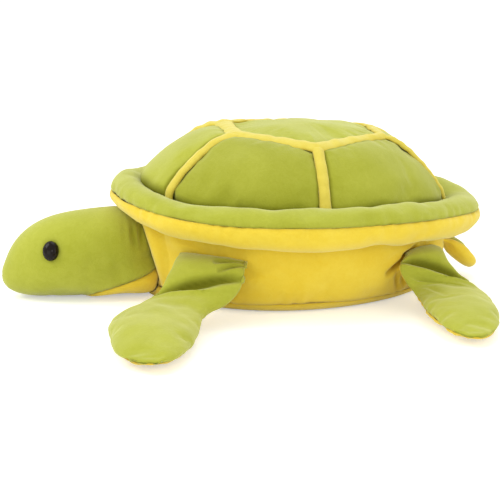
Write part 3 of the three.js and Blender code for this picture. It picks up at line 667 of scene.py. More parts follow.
LEFT_CORNERS = [place(*corner) for corner in (HEX_FRONT, HEX_FLANK, HEX_REAR)]
HEX_CORNERS = np.array(LEFT_CORNERS + [corner * np.array([1, -1, 1]) for corner in LEFT_CORNERS[::-1]])
DOME_MIDDLE = place(0, 0, RIM_MID_HEIGHT)


def panel_angle(panel, share):
    end = RIBBON_ANGLES[(panel + 1) % SIDES] + (2 * math.pi if panel == FRONT_PANEL else 0)
    return mix(RIBBON_ANGLES[panel], end, share)


def hex_point(panel, share):
    return mix(HEX_CORNERS[panel], HEX_CORNERS[(panel + 1) % SIDES], np.asarray(share, float)[..., None])


def roundness(panel, share):
    """How round the dome's profile is, flatter at the tail end."""
    rear = 1 - at_front(panel_angle(panel, share))
    return DOME_ROUNDNESS - DOME_REAR_FLATTENING * rear**DOME_FLATTENING_NARROWNESS


def dome_surface(panel, share, rise):
    """The dome without its stuffing's puff: rise is the angle of its profile, from its seat to its top."""
    base = roll_point(panel_angle(panel, share), SEAT_GAP, DOME_SEAT)
    power = 2 / roundness(panel, share)
    across, up = 1 - np.cos(rise) ** power, np.sin(rise) ** power
    return mix(base, hex_point(panel, share), np.stack([across, across, up], axis=-1))


def panel_normal(panel, share, rise):
    """The dome's outward direction in one panel."""
    low, high = np.maximum(share - NORMAL_STEP, 0), np.minimum(share + NORMAL_STEP, 1)
    steady = np.clip(rise, STEADY_FROM, STEADY_TO)
    along = dome_surface(panel, high, steady) - dome_surface(panel, low, steady)
    above, below = (dome_surface(panel, share, steady + step) for step in (NORMAL_STEP, -NORMAL_STEP))
    normal = unit(np.cross(along, above - below))
    return normal * np.sign(normal[..., 2:] + TINY)


def seam_normal(panel, rise):
    """The dome's outward direction on the seam where a panel starts."""
    zero, one = np.zeros_like(rise), np.ones_like(rise)
    return unit(panel_normal(panel, zero, rise) + panel_normal((panel - 1) % SIDES, one, rise))


def panel_width(panel, rise):
    start, end = (dome_surface(panel, np.full_like(rise, share), rise) for share in (0, 1))
    return length(end - start)


def puff(panel, share, rise):
    """How far the stuffing swells a side panel; the front one swells out over the rim at its foot."""
    arch = 4 * share * (1 - share)
    swell = (REAR_PANEL_PUFF if panel == REAR_PANEL else PANEL_PUFF) * arch * np.sin(2 * rise)
    if panel == FRONT_PANEL:
        above = HEX_FRONT[2] - RIM_MID_HEIGHT
        foot = bell(np.sin(rise) ** (2 / DOME_ROUNDNESS) * above, FRONT_FOOT_HEIGHT)
        swell = swell + FRONT_FOOT_PUFF * foot * arch**0.5
    return swell


def ridge(panel, share, rise):
    """How far the dome stands up in a ridge along its front and rear seams."""
    width = panel_width(panel, rise)
    near = np.zeros(np.broadcast(share, rise).shape)
    for seam, away in ((panel, share * width), ((panel + 1) % SIDES, (1 - share) * width)):
        if seam in RIDGED_SEAMS:
            near = near + bell(away, RIDGE_WIDTH)
    ends = smooth_step(rise / RIDGE_FOOT) * (1 - smooth_step((rise - RIDGE_TOP) / RIDGE_TOP_RUN))
    return RIDGE_RISE * near * ends


def rise_short_of_top(panel, share, distance):
    """The rise at which the profile is a distance short of the top panel's edge."""
    seat = roll_point(panel_angle(panel, share), SEAT_GAP, DOME_SEAT)
    run = length((seat - hex_point(panel, share))[..., :2])
    return np.arccos(np.clip(distance / run, 0, 1) ** (roundness(panel, share) / 2))


def top_point(panel, share, reach):
    """The top panel's surface: reach runs from the crown at 0 to its edge at 1."""
    edge, crown = hex_point(panel, share), place(*CROWN)
    point = mix(crown, edge, reach[..., None])
    point[..., 2] = mix(crown[2], edge[..., 2], reach**TOP_FULLNESS)
    return point


# Meshes


def closed(grid, wraps):
    """A grid with its first row and column repeated at the end where it wraps round."""
    for axis in (0, 1):
        if wraps[axis]:
            grid = np.concatenate([grid, np.take(grid, [0], axis=axis)], axis=axis)
    return grid


def outward(points, wraps, inside):
    """Unit normals of a grid of points away from the inside, and whether its rows and columns face inward."""
    def slope(axis):
        if wraps[axis]:
            return np.roll(points, -1, axis) - np.roll(points, 1, axis)
        return np.gradient(points, axis=axis)

    normal = unit(np.cross(slope(0), slope(1)))
    faces_inward = np.sum(normal * (points - inside)) < 0
    return (-normal if faces_inward else normal), faces_inward


def grid_faces(index, turned_over):
    """Four-cornered faces between the points of a grid."""
    corners = [index[:-1, :-1], index[1:, :-1], index[1:, 1:], index[:-1, 1:]]
    faces = np.stack(corners, axis=-1).reshape(-1, 4)
    return (faces[:, ::-1] if turned_over else faces).tolist()


def mesh_of(name, points, wraps, inside, crease=0.0):
    """A mesh of a grid of points, with its faces turned away from the inside and its poles joined up."""
    index = closed(np.arange(points[..., 0].size).reshape(points.shape[:2]), wraps)
    _, faces_inward = outward(points, wraps, inside)
    mesh = bpy.data.meshes.new(name)
    mesh.from_pydata(points.reshape(-1, 3).tolist(), [], grid_faces(index, faces_inward))
    # Share of painted shade at each point: creases, seams and folds darkened towards the material's shade
    # colour
    shares = np.broadcast_to(np.clip(crease, 0, 1), points.shape[:2]).astype(np.float32)
    mesh.attributes.new("painted_crease_shade", "FLOAT", "POINT").data.foreach_set("value", shares.ravel())
    bm = bmesh.new()
    bm.from_mesh(mesh)
    bmesh.ops.remove_doubles(bm, verts=bm.verts, dist=WELD_DISTANCE)
    bmesh.ops.dissolve_degenerate(bm, edges=bm.edges, dist=SHORTEST_EDGE)
    bm.to_mesh(mesh)
    bm.free()
    mesh.shade_smooth()
    return mesh


def add_object(name, mesh, material):
    piece = bpy.data.objects.new(name, mesh)
    bpy.context.scene.collection.objects.link(piece)
    mesh.materials.append(material)
    return piece


def covered(name, points, wraps, inside, crease, finish, nodes, thickness=CLOTH_THICKNESS):
    """A sewn piece of cloth in place of its CAD nodes, as thick as cloth inward from its outer face."""
    piece = add_object(name, mesh_of(name, points, wraps, inside, crease), finish["material"])
    solid = piece.modifiers.new("cloth_thickness", "SOLIDIFY")
    solid.thickness = thickness
    solid.offset = -1
    solid.use_even_offset = False
    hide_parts(*nodes)
    return piece


def torso_piece(name, points, wraps, inside, crease, finish, nodes):
    piece = covered(name, points, wraps, inside, crease, finish, nodes)
    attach(piece, "torso")
    return piece


# Painted shade along a seam, darkest on it
def painted_seam_shade(away, width=SEAM_SHADE_WIDTH):
    return SEAM_SHADE_SHARE * bell(away, width)


def above_floor(points, least=FLOOR_CLEARANCE):
    points[..., 2] = np.maximum(points[..., 2], least)
    return points


# Cloth simulation


def chosen_steps(points, axis):
    """Rows or columns of a grid, about the simulated cloth's spacing apart."""
    extent = np.linalg.norm(np.diff(points, axis=axis), axis=2).sum(axis=axis).max()
    count = points.shape[axis]
    number = int(np.clip(round(extent / SIM_SPACING), SIM_FEWEST_STEPS, count - 1))
    return np.unique(np.round(np.linspace(0, count - 1, number + 1)).astype(int))


def spline_weights(chosen, count, wraps, free):
    """Weights that carry values at the chosen steps smoothly over to all steps, still at held ends."""
    last = len(chosen) - 1
    every = np.arange(count)
    at = np.interp(every, chosen, np.arange(last + 1))
    start = np.minimum(at.astype(int), last - 1)
    f = at - start
    four = np.stack([(1 - f) ** 3, 3 * f**3 - 6 * f**2 + 4, -3 * f**3 + 3 * f**2 + 3 * f + 1, f**3]) / 6
    weights = np.zeros((count, last + 1))
    for number, weight in enumerate(four):
        step = start + number - 1
        sign = np.ones(count)
        if wraps:
            step = step % last
        else:
            sign[step < 0] = 1 if free else -1
            sign[step > last] = -1
            step = np.where(step < 0, -step, np.where(step > last, 2 * last - step, step))
        np.add.at(weights, (every, step), weight * sign)
    return weights


def drawn_smaller(points, wraps, inside, room):
    """The shape before its stuffing swells it, unchanged where the cloth is held."""
    away = np.full(points.shape[:2], np.inf)
    for axis in (0, 1):
        if wraps[axis]:
            continue
        run = np.cumsum(np.linalg.norm(np.diff(points, axis=axis), axis=2), axis=axis)
        run = np.insert(run, 0, 0.0, axis=axis)
        rest = np.take(run, [-1], axis=axis) - run
        free_pole = axis == 0 and wraps[1]
        away = np.minimum(away, rest if free_pole else np.minimum(run, rest))
    normal, _ = outward(points, wraps, inside)
    if wraps[1]:
        normal[0] = normal[1].mean(axis=0)
    return points - normal * (room * smooth_step(away / SIM_ROOM_REACH))[..., None]


def blown_out(start, faces, held):
    """Where the points of a sheet go when it is blown out between its held points."""
    scene = bpy.context.scene
    mesh = bpy.data.meshes.new("settling_cloth")
    mesh.from_pydata(start.tolist(), [], faces)
    sheet = bpy.data.objects.new("settling_cloth", mesh)
    scene.collection.objects.link(sheet)
    sheet.vertex_groups.new(name="held").add(held, 1.0, "REPLACE")
    cloth = sheet.modifiers.new("settling", "CLOTH")
    cloth.settings.vertex_group_mass = "held"
    cloth.settings.use_pressure = True
    cloth.settings.uniform_pressure_force = SIM_PRESSURE
    cloth.settings.effector_weights.gravity = 0
    cloth.settings.shrink_min = SIM_SLACK
    cloth.collision_settings.use_collision = False
    cloth.point_cache.frame_start = 1
    cloth.point_cache.frame_end = SIM_FRAMES
    for step in range(1, SIM_FRAMES + 1):
        scene.frame_set(step)
    result = sheet.evaluated_get(bpy.context.evaluated_depsgraph_get()).data
    end = np.empty(start.size)
    result.vertices.foreach_get("co", end)
    bpy.data.objects.remove(sheet)
    bpy.data.meshes.remove(mesh)
    scene.frame_set(1)
    return end.reshape(-1, 3)


def settled(points, wraps, inside, room=SIM_ROOM):
    """Cloth held along its seams and blown out by its stuffing: where its points come to rest."""
    points = drawn_smaller(points, wraps, inside, room)
    _, faces_inward = outward(points, wraps, inside)
    grid = closed(points, wraps)
    chosen = [chosen_steps(grid, axis) for axis in (0, 1)]
    coarse = grid[np.ix_(*chosen)]
    index = np.arange(coarse[..., 0].size).reshape(coarse.shape[:2])
    held = np.zeros(index.shape, bool)
    for lines, held_lines, wrap in ((index, held, wraps[0]), (index.T, held.T, wraps[1])):
        if wrap:
            lines[-1] = lines[0]
        else:
            held_lines[0] = held_lines[-1] = True
    free_pole = False
    for row in (0, -1):
        if np.ptp(coarse[row], axis=0).max() < POLE_WIDTH:
            index[row] = index[row, 0]
            held[row] = not wraps[1]
            free_pole = free_pole or (wraps[1] and row == 0)
    kept, index = np.unique(index, return_inverse=True)
    index = index.reshape(coarse.shape[:2])
    faces = [list(dict.fromkeys(face)) for face in grid_faces(index, faces_inward)]
    start = coarse.reshape(-1, 3)[kept]
    end = blown_out(start, [face for face in faces if len(face) > 2], np.unique(index[held]).tolist())
    moved = end - start
    distance = length(moved)[:, None]
    moved *= SIM_LIMIT * np.tanh(distance / SIM_LIMIT) / np.maximum(distance, TINY)
    row_weights = spline_weights(chosen[0], grid.shape[0], wraps[0], free_pole)
    column_weights = spline_weights(chosen[1], grid.shape[1], wraps[1], False)
    change = np.einsum("ri,ijk,cj->rck", row_weights, moved[index], column_weights)
    return points + change[: points.shape[0], : points.shape[1]]


# Materials


def linear(*code):
    """A colour written as red, green and blue of 255, as Blender's linear values."""
    shares = [channel / 255 for channel in code]
    return [s / 12.92 if s <= 0.04045 else ((s + 0.055) / 1.055) ** 2.4 for s in shares] + [1.0]


class Nodes:
    """Short calls for the nodes and links of a material or the world."""

    def __init__(self, owner):
        owner.use_nodes = True
        self.tree = owner.node_tree

    def put(self, socket, value):
        if isinstance(value, bpy.types.NodeSocket):
            self.tree.links.new(value, socket)
        else:
            socket.default_value = value

    def shade(self, shader, values):
        """Sets or links the inputs of the shader that is there from the start."""
        for name, value in values.items():
            self.put(self.tree.nodes[shader].inputs[name], value)

    def add(self, kind, settings=None, **inputs):
        node = self.tree.nodes.new(kind)
        for name, value in (settings or {}).items():
            setattr(node, name, value)
        for name, value in inputs.items():
            self.put(node.inputs[name.replace("_", " ").title()], value)
        return node

    def texture(self, kind, output="Fac", **inputs):
        where = self.add("ShaderNodeTexCoord").outputs["Object"]
        return self.add(kind, vector=where, **inputs).outputs[output]

    def maths(self, operation, *values):
        node = self.add("ShaderNodeMath", {"operation": operation})
        for socket, value in zip(node.inputs, values):
            self.put(socket, value)
        return node.outputs[0]

    def between(self, share, low, high):
        """Mixes two colours by a share."""
        values = {"Factor_Float": share, "A_Color": low, "B_Color": high}
        node = self.add("ShaderNodeMix", {"data_type": "RGBA"})
        for socket in node.inputs:
            if socket.identifier in values:
                self.put(socket, values[socket.identifier])
        return next(socket for socket in node.outputs if socket.identifier == "Result_Color")

    def mapped(self, value, **ends):
        """Stretches a range of values to another, each from 0 to 1 where no ends are named."""
        return self.add("ShaderNodeMapRange", value=value, **ends).outputs["Result"]

    def bump(self, height, **settings):
        return self.add("ShaderNodeBump", height=height, **settings).outputs["Normal"]

    def seen_directly(self):
        """1 for rays from the camera, off a shiny piece or through a clear one, and 0 for the others."""
        rays = self.add("ShaderNodeLightPath").outputs
        seen = self.maths("MAXIMUM", rays["Is Camera Ray"], rays["Is Glossy Ray"])
        return self.maths("MAXIMUM", seen, rays["Is Transmission Ray"])


def plush(name, light, dark, shade):
    """Short-pile plush: brushed patches, tufts, single fibres and a soft sheen, with painted shade in its
    creases and along its seams that also takes the sheen away there.
    """
    material = bpy.data.materials.new(name)
    n = Nodes(material)
    patches = n.texture("ShaderNodeTexNoise", scale=22.0, detail=2.0, distortion=0.6)
    brushed = n.texture("ShaderNodeTexNoise", scale=160.0, detail=3.0, distortion=1.4)
    tufts = n.texture("ShaderNodeTexVoronoi", "Distance", scale=820.0)
    fibres = n.texture("ShaderNodeTexNoise", scale=2600.0, detail=2.0)
    lay = n.maths("MULTIPLY", n.mapped(patches, from_min=0.3, from_max=0.7), PATCH_SHARE)
    nap = n.maths("MULTIPLY", n.mapped(brushed, from_min=0.3, from_max=0.7), 1 - PATCH_SHARE)
    colour = n.between(n.maths("ADD", lay, nap), linear(*dark), linear(*light))
    lit = n.maths("MULTIPLY", n.mapped(fibres, from_min=0.35, from_max=0.75), FIBRE_LIGHT_SHARE)
    colour = n.between(lit, colour, linear(*light))
    # Painted shade: the mesh's per-point share of crease and seam darkening, which also lessens the sheen
    crease = n.add("ShaderNodeAttribute", {"attribute_name": "painted_crease_shade"}).outputs["Fac"]
    height = n.maths("ADD", n.maths("MULTIPLY", tufts, TUFT_BUMP), n.maths("MULTIPLY", fibres, FIBRE_BUMP))
    height = n.maths("ADD", height, n.maths("MULTIPLY", brushed, BRUSHED_BUMP))
    n.shade(PRINCIPLED, {
        "Base Color": n.between(n.maths("MULTIPLY", crease, CREASE_SHADE_SHARE), colour, linear(*shade)),
        "Roughness": 0.92,
        "Specular IOR Level": 0.15,
        "Sheen Weight": n.mapped(crease, to_min=PLUSH_SHEEN, to_max=0.0),
        "Sheen Roughness": 0.5,
        "Sheen Tint": (1.0, 1.0, 0.62, 1.0),
        "Normal": n.bump(height, strength=0.35, distance=0.0009),
    })
    return material


def eye_plastic():
    material = bpy.data.materials.new("polished_eye_plastic")
    n = Nodes(material)
    specks = n.texture("ShaderNodeTexNoise", scale=500.0, detail=3.0)
    n.shade(PRINCIPLED, {
        "Base Color": n.between(specks, linear(18, 12, 8), linear(28, 20, 14)),
        "Roughness": n.maths("MULTIPLY", specks, EYE_ROUGHNESS),
        "Specular IOR Level": 0.16,
    })
    return material


def washer_plastic():
    material = bpy.data.materials.new("moulded_washer_plastic")
    n = Nodes(material)
    grain = n.texture("ShaderNodeTexNoise", scale=900.0, detail=2.0)
    n.shade(PRINCIPLED, {
        "Base Color": n.between(grain, linear(222, 221, 214), linear(236, 235, 228)),
        "Roughness": 0.5,
        "Normal": n.bump(grain, strength=0.1, distance=0.0002),
    })
    return material


GREEN = {
    "material": plush("green_plush_cloth", (182, 186, 66), (164, 168, 44), (104, 104, 12)),
    "slot": "green_plush",
}
YELLOW = {
    "material": plush("yellow_plush_cloth", (239, 213, 72), (231, 199, 46), (168, 126, 14)),
    "slot": "yellow_plush",
}
RIBBON = {
    "material": plush("ribbon_cloth", (226, 210, 92), (218, 197, 72), (190, 158, 36)),
    "slot": "yellow_ribbon",
}
EYE = {"material": eye_plastic(), "slot": "black_eye"}
WASHER = washer_plastic()


# Shell pieces


def rim_cover(name, is_upper, seed, finish, nodes):
    """One half of the rim roll's cloth, drawn in along its two seams."""
    angles = turns(RIM_STEPS)
    start = outer_seam(angles) if is_upper else RIM_INNER_SEAM
    end = RIM_INNER_SEAM if is_upper else outer_seam(angles) + 2 * math.pi
    directions = mix(start, end, crowded(RIM_ARC_STEPS, RIM_ARC_CROWDING)[None, :])
    base = roll_point(angles, 0.0, directions)
    middle = roll_point(angles, -rim_frame(angles)["radius"], directions)
    away = np.minimum(directions - start, end - directions) * RIM_RADIUS
    along = angles * (RIM_HALF_LENGTH + RIM_HALF_WIDTH) / 2
    offset = gathers(along, away, RIM_GATHERS, seed) + lumpy(base, RIM_LUMPS, seed + RIM_LUMP_SEED_STEP)
    offset = offset - RIM_SEAM_SHARE * SEAM_DEPTH * bell(away, SEAM_WIDTH)
    points = cupped(base + unit(base - middle) * offset[..., None])
    points = cupped(settled(points, RING, middle))
    # Painted shade along both seams
    return torso_piece(name, points, RING, middle, painted_seam_shade(away), finish, nodes)


def pillowed(away, height):
    """How far a panel of the dome stands up between its seams, drawn in on them."""
    return height * (1 - bell(away, PILLOW_REACH)) - PANEL_DIP * bell(away, PANEL_DIP_WIDTH)


def side_panel(panel):
    """One puffed side panel, gathered a little where it meets its ribbons."""
    share = crowded(PANEL_COLUMNS, PANEL_COLUMN_CROWDING, cycles=2)[None, :]
    top = rise_short_of_top(panel, share, PANEL_TOP_GAP)
    rise = steps(PANEL_ROWS)[:, None] ** PANEL_ROW_CROWDING * top
    share = np.broadcast_to(share, rise.shape)
    base = dome_surface(panel, share, rise)
    width = panel_width(panel, rise)
    side_away = np.minimum(share, 1 - share) * width
    top_away = length(base - dome_surface(panel, share, rise_short_of_top(panel, share, 0.0)))
    foot_away = length(base - base[:1])
    offset = puff(panel, share, rise) + ridge(panel, share, rise)
    offset = offset + pillowed(np.minimum(side_away, top_away), PANEL_PILLOW)
    offset = offset - FOOT_DIP * bell(foot_away, FOOT_DIP_WIDTH)
    offset = offset + gathers(foot_away, side_away, PANEL_SIDE_GATHERS, PANEL_SIDE_SEED + panel)
    offset = offset + gathers(share * width, top_away, PANEL_TOP_GATHERS, PANEL_TOP_SEED + panel)
    offset = offset + lumpy(base, PANEL_LUMPS, PANEL_LUMP_SEED + panel, PANEL_LUMP_SEED_STEP)
    points = base + panel_normal(panel, share, rise) * offset[..., None]
    # Painted shade beside the ribbons, under the top panel's edge and in the valley at the foot
    side_crease = bell(side_away - RIBBON_HALF, SIDE_CREASE_WIDTH)
    crease = PANEL_SHADE_SHARE * np.maximum(side_crease, bell(top_away - RIBBON_HALF, TOP_CREASE_WIDTH))
    crease = np.maximum(crease, bell(foot_away, FOOT_CREASE_WIDTH))
    # Painted shade laid evenly over the whole panel
    crease = np.maximum(crease, PANEL_PAINTED_SHADE_SHARES[panel])
    points = settled(points, SHEET, DOME_MIDDLE)
    name = PANELS[panel]
    nodes = [f"shell_panel_{name}"]
    return torso_piece(f"{name}_shell_panel", points, SHEET, DOME_MIDDLE, crease, GREEN, nodes)


def top_panel():
    """The six-cornered top panel, softly puffed inside its ribbon."""
    reach = 1 - (1 - steps(TOP_ROWS)[:, None]) ** TOP_ROW_CROWDING
    share = steps(HEX_STEPS)[None, :-1]
    points = np.concatenate([top_point(panel, share, reach) for panel in range(SIDES)], axis=1)
    away = length(points - points[-1:])
    along = np.arange(SIDES * HEX_STEPS)[None, :] * TOP_EDGE_STEP
    lift = pillowed(away, TOP_PILLOW) + gathers(along, away, TOP_GATHERS, TOP_GATHER_SEED)
    points[..., 2] += lift + lumpy(points, TOP_LUMPS, TOP_LUMP_SEED)
    # Painted shade beside the border ribbon
    crease = PANEL_SHADE_SHARE * bell(away - RIBBON_HALF, TOP_EDGE_CREASE_WIDTH)
    points = settled(points, DISC, DOME_MIDDLE, TOP_ROOM)
    return torso_piece("top_shell_panel", points, DISC, DOME_MIDDLE, crease, GREEN, ["shell_top_panel"])


def ribbon_section(along, across, form, seed):
    """The height of a sewn ribbon's face, rounded, tucked down at its edges, rippled and stitched."""
    height, wavelength = form
    tuck = RIBBON_EDGE_TUCK * np.abs(across) ** RIBBON_EDGE_SHARPNESS
    line = bell(np.abs(across) - STITCH_LINE_SHARE, STITCH_WIDTH_SHARE)
    dimples = ((1 + np.cos(2 * math.pi * along / STITCH_SPACING)) / 2) ** 2
    stitches = STITCH_DEPTH * line * dimples[:, None]
    ripple = height * ripples(along, wavelength, seed)[:, None]
    return RIBBON_RISE + RIBBON_CROWN * (1 - across**2) - tuck - stitches + ripple


def ribbon_piece(name, points, wraps, across, node):
    # Painted shade towards the ribbon's tucked edges
    crease = RIBBON_EDGE_SHADE_SHARE * np.abs(across) ** RIBBON_CREASE_SHARPNESS
    return torso_piece(name, points, wraps, DOME_MIDDLE, crease, RIBBON, [node])


def side_ribbon(panel):
    """A ribbon from the rim up to a corner of the top panel, flaring a little there."""
    zero = np.zeros(RIBBON_STEPS + 1)
    rise = steps(RIBBON_STEPS) * rise_short_of_top(panel, zero, RIBBON_TOP_GAP)
    line = dome_surface(panel, zero, rise)
    along = np.concatenate([[0], np.cumsum(length(np.diff(line, axis=0)))])
    flare = 1 + RIBBON_FLARE_SHARES[panel] * np.exp(-(along[-1] - along) / RIBBON_FLARE_LENGTH)
    unevenness, wavelength = RIBBON_WIDTH_RIPPLES
    half = RIBBON_HALF * (flare + unevenness * ripples(along, wavelength, RIBBON_WIDTH_SEED + panel))
    across = np.linspace(-1, 1, RIBBON_COLUMNS + 1)
    normal = seam_normal(panel, rise)
    columns = []
    for a in across:
        side = (panel - 1) % SIDES if a < 0 else panel
        edge = np.abs(a) * half / panel_width(side, rise)
        share = 1 - edge if a < 0 else edge
        columns.append(dome_surface(side, share, rise) + normal * ridge(side, share, rise)[:, None])
    height = ribbon_section(along, across, RIBBON_RIPPLES, RIBBON_SEED + panel)
    points = np.stack(columns, axis=1) + normal[:, None] * height[..., None]
    name = RIBBONS[panel]
    return ribbon_piece(f"{name}_shell_ribbon", points, SHEET, across, f"shell_ribbon_{name}")


def border_ribbon():
    """The ribbon round the top panel, over the seam between it and the side panels."""
    share = steps(HEX_STEPS)[:-1]
    across = np.linspace(-1, 1, RIBBON_COLUMNS + 1)
    points, normals = [], []
    for panel in range(SIDES):
        edge = hex_point(panel, share)
        from_front = np.minimum(length(edge - HEX_CORNERS[0]), length(edge - HEX_CORNERS[-1]))
        half = BORDER_HALF * (1 + BORDER_FLARE * np.exp(-from_front / BORDER_FLARE_LENGTH))
        outer = dome_surface(panel, share, rise_short_of_top(panel, share, half))
        inner = top_point(panel, share, 1 - half / length((edge - place(*CROWN))[..., :2]))
        points.append(np.stack([mix(edge, outer if a < 0 else inner, abs(a)) for a in across], axis=1))
        tilt = unit(np.cross(inner - outer, hex_point(panel, share + NORMAL_STEP) - edge))
        normals.append(tilt * np.sign(tilt[..., 2:]))
    points, normals = np.concatenate(points), np.concatenate(normals)
    line = points[:, RIBBON_COLUMNS // 2]
    along = np.cumsum(length(line - np.roll(line, 1, axis=0)))
    window = range(-BORDER_SMOOTHING, BORDER_SMOOTHING + 1)
    normal = unit(sum(np.roll(normals, shift, axis=0) for shift in window))
    height = BORDER_LIFT + ribbon_section(along, across, BORDER_RIPPLES, BORDER_SEED)
    points = points + normal[:, None] * height[..., None]
    return ribbon_piece("border_shell_ribbon", points, RING, across, "shell_border_ribbon")


# Body pieces


def body_profile(angle, share):
    """The body's inset from the rim's middle line and its height, at a share of the way up its side."""
    f = rim_frame(angle)
    seat = f["radius"] + SEAT_GAP
    over = np.clip((share - BODY_WIDEST_SHARE) / (1 - BODY_WIDEST_SHARE), 0, 1)
    under = np.clip(1 - share / BODY_WIDEST_SHARE, 0, 1)
    tuck = 1 - (1 - under**BODY_ROUNDNESS) ** (1 / BODY_ROUNDNESS)
    upper = mix(f["side_inset"], -seat * np.cos(BAND_SEAT), over**2)
    lower = mix(f["side_inset"], f["floor_inset"], tuck)
    return np.where(share > BODY_WIDEST_SHARE, upper, lower), share * (f["height"] + seat * np.sin(BAND_SEAT))


def squared_below(angle, reach):
    """How much further the head's lower half stands out than a round one, most at the neck."""
    fade = 1 - smooth_step(np.asarray(reach) / NECK_SQUARE_REACH)
    power = 2 + NECK_SIDE_SQUARENESS * fade
    cosine, sine = np.abs(np.cos(angle)), np.abs(np.sin(angle))
    return np.where(np.sin(angle) < 0, (cosine**power + sine**power) ** (-1 / power), 1)


def neck_radius(direction):
    """The neck's radius from its middle in unit directions: round, but squared off low down at its back."""
    backward, upward = direction[..., 0], direction[..., 2]
    ring = np.sqrt(np.clip(1 - backward**2, 0, 1))
    angle = np.arctan2(upward, np.abs(direction[..., 1]))
    down = np.clip(-upward / np.maximum(ring, TINY), 0, 1) ** 2
    power = 2 + NECK_SQUARENESS * down
    ring = ring / squared_below(angle, 0.0)
    squared = (np.abs(backward) ** power + ring**power) ** (-1 / power)
    return NECK_RADIUS * np.where(backward > 0, squared, squared_below(angle, 0.0))


def cupped(points):
    """Pushes cloth that would lie in the head's neck back to the neck's surface."""
    centre = place(NECK_FORWARD, 0, NECK_HEIGHT)
    direction = unit(points - centre)
    least = neck_radius(direction) + SOCKET_CLEARANCE
    closer = length(points - centre) < least
    return np.where(closer[..., None], centre + direction * least[..., None], points)


def collar(points):
    """The body's cloth drawn forward over the back of the head, higher up further."""
    forward, left, height = -points[..., 0], -points[..., 1], points[..., 2]
    edge = COLLAR_FORWARD + COLLAR_LEAN * (height - COLLAR_HEIGHT)
    from_axis = np.hypot(left, height - NECK_HEIGHT)
    share = 1 - np.clip((from_axis - COLLAR_RADIUS) / COLLAR_ROLL, 0, 1) ** 2
    share = share * np.clip((forward - COLLAR_BACK) / COLLAR_ROLL, 0, 1)
    lifted = points.copy()
    lifted[..., 0] = -np.where(forward < edge, mix(forward, edge, np.sqrt(share)), forward)
    return lifted


def root_puckers(points):
    """Puckers of the body's cloth round the roots of the flippers and the tail."""
    total = np.zeros(points.shape[:-1])
    for number, (centre, reach) in enumerate(limb_roots()):
        away = points - centre
        turn = np.arctan2(away[..., 2], np.hypot(away[..., 0], away[..., 1]) * np.sign(away[..., 0]))
        ring = bell(length(away) - reach, PUCKER_WIDTH_SHARE * reach)
        wander = PUCKER_WANDER * lumps(points, PUCKER_WANDER_LENGTH, PUCKER_SEED + number)
        total += ring * np.sin(turn * PUCKER_COUNT + number + wander)
    return PUCKER_DEPTH * total


def line_distance(points, line):
    """Distance from a broken line, and the share of the way along it."""
    best = np.full(points.shape[:-1], np.inf)
    way = np.zeros_like(best)
    for number, (start, end) in enumerate(zip(line[:-1], line[1:])):
        run = end - start
        share = np.clip(((points - start) @ run) / (run @ run), 0, 1)
        distance = length(points - start - share[..., None] * run)
        closer = distance < best
        best = np.where(closer, distance, best)
        way = np.where(closer, (number + share) / (len(line) - 1), way)
    return best, way


def wall_creases(points):
    """How far the body's wall is drawn in along its creases, on both sides."""
    total = np.zeros(points.shape[:-1])
    left_side = points.copy()
    left_side[..., 1] = -np.abs(points[..., 1])
    for depth, width, spots in WALL_CREASES:
        distance, way = line_distance(left_side, [place(*spot) for spot in spots])
        strength = np.sin(math.pi * mix(*WALL_CREASE_ENDS, way))
        beside = bell(distance - WALL_RIDGE_PLACE * width, WALL_RIDGE_WIDTH * width)
        total += depth * strength * (bell(distance, width) - WALL_RIDGE_SHARE * beside)
    return total


def side_band():
    """The yellow wall of the body, from its seam with the belly up to its seat under the rim."""
    angles = turns(BODY_STEPS)
    shares = np.linspace(BELLY_SEAM_SHARE, 1, BAND_ROWS)[None, :]
    inset, height = body_profile(angles, shares)
    base = out_from(angles, -inset, height)
    away = (shares - BELLY_SEAM_SHARE) * BAND_RUN
    drawn_in = wall_creases(base)
    offset = gathers(angles * BODY_MEAN_RADIUS, away, BODY_GATHERS, BODY_GATHER_SEED)
    offset = offset + lumpy(base, BODY_LUMPS, BODY_LUMP_SEED)
    offset = offset + root_puckers(base) - drawn_in - BELLY_SEAM_DEPTH * bell(away, SEAM_WIDTH)
    normal, _ = outward(base, RING, DOME_MIDDLE)
    points = settled(base + normal * offset[..., None], RING, DOME_MIDDLE)
    points = above_floor(cupped(collar(points)))
    # Painted shade along the belly seam and in the wall's creases
    crease = painted_seam_shade(away) + np.clip(drawn_in * WALL_CREASE_SHADE, 0, 1)
    nodes = ["body_side_band", "torso_stuffing"]
    return torso_piece("body_wall", points, RING, DOME_MIDDLE, crease, YELLOW, nodes)


def belly():
    """The belly panel: flat on the floor, turned up to its seam."""
    angles = turns(BODY_STEPS)
    edge_shares = np.linspace(0, BELLY_SEAM_SHARE, BELLY_TURN_ROWS)[None, :]
    inset, height = body_profile(angles, edge_shares)
    turned_up = out_from(angles, -inset, height)
    flat = turned_up[:, :1] * steps(BELLY_ROWS)[None, :-1, None]
    points = np.concatenate([flat, turned_up], axis=1)
    lift = bell(edge_shares - BELLY_SEAM_SHARE, BELLY_TURN_SHARE)
    lift = np.concatenate([np.zeros((1, BELLY_ROWS)), lift], axis=1)
    middle = place(0, 0, BELLY_MIDDLE_HEIGHT)
    points = mix(points, middle, BELLY_DRAW_SHARE * lift[..., None])
    pushed_out = cupped(points)
    was_pushed = np.any(pushed_out != points, axis=-1)
    points = above_floor(pushed_out, np.where(was_pushed, CLOTH_THICKNESS, 0))
    # Painted shade where the belly turns up to its seam
    crease = SEAM_SHADE_SHARE * lift**BELLY_CREASE_SHARPNESS
    return torso_piece("belly_cloth", points, RING, middle, crease, YELLOW, ["belly_panel"])


# Head pieces

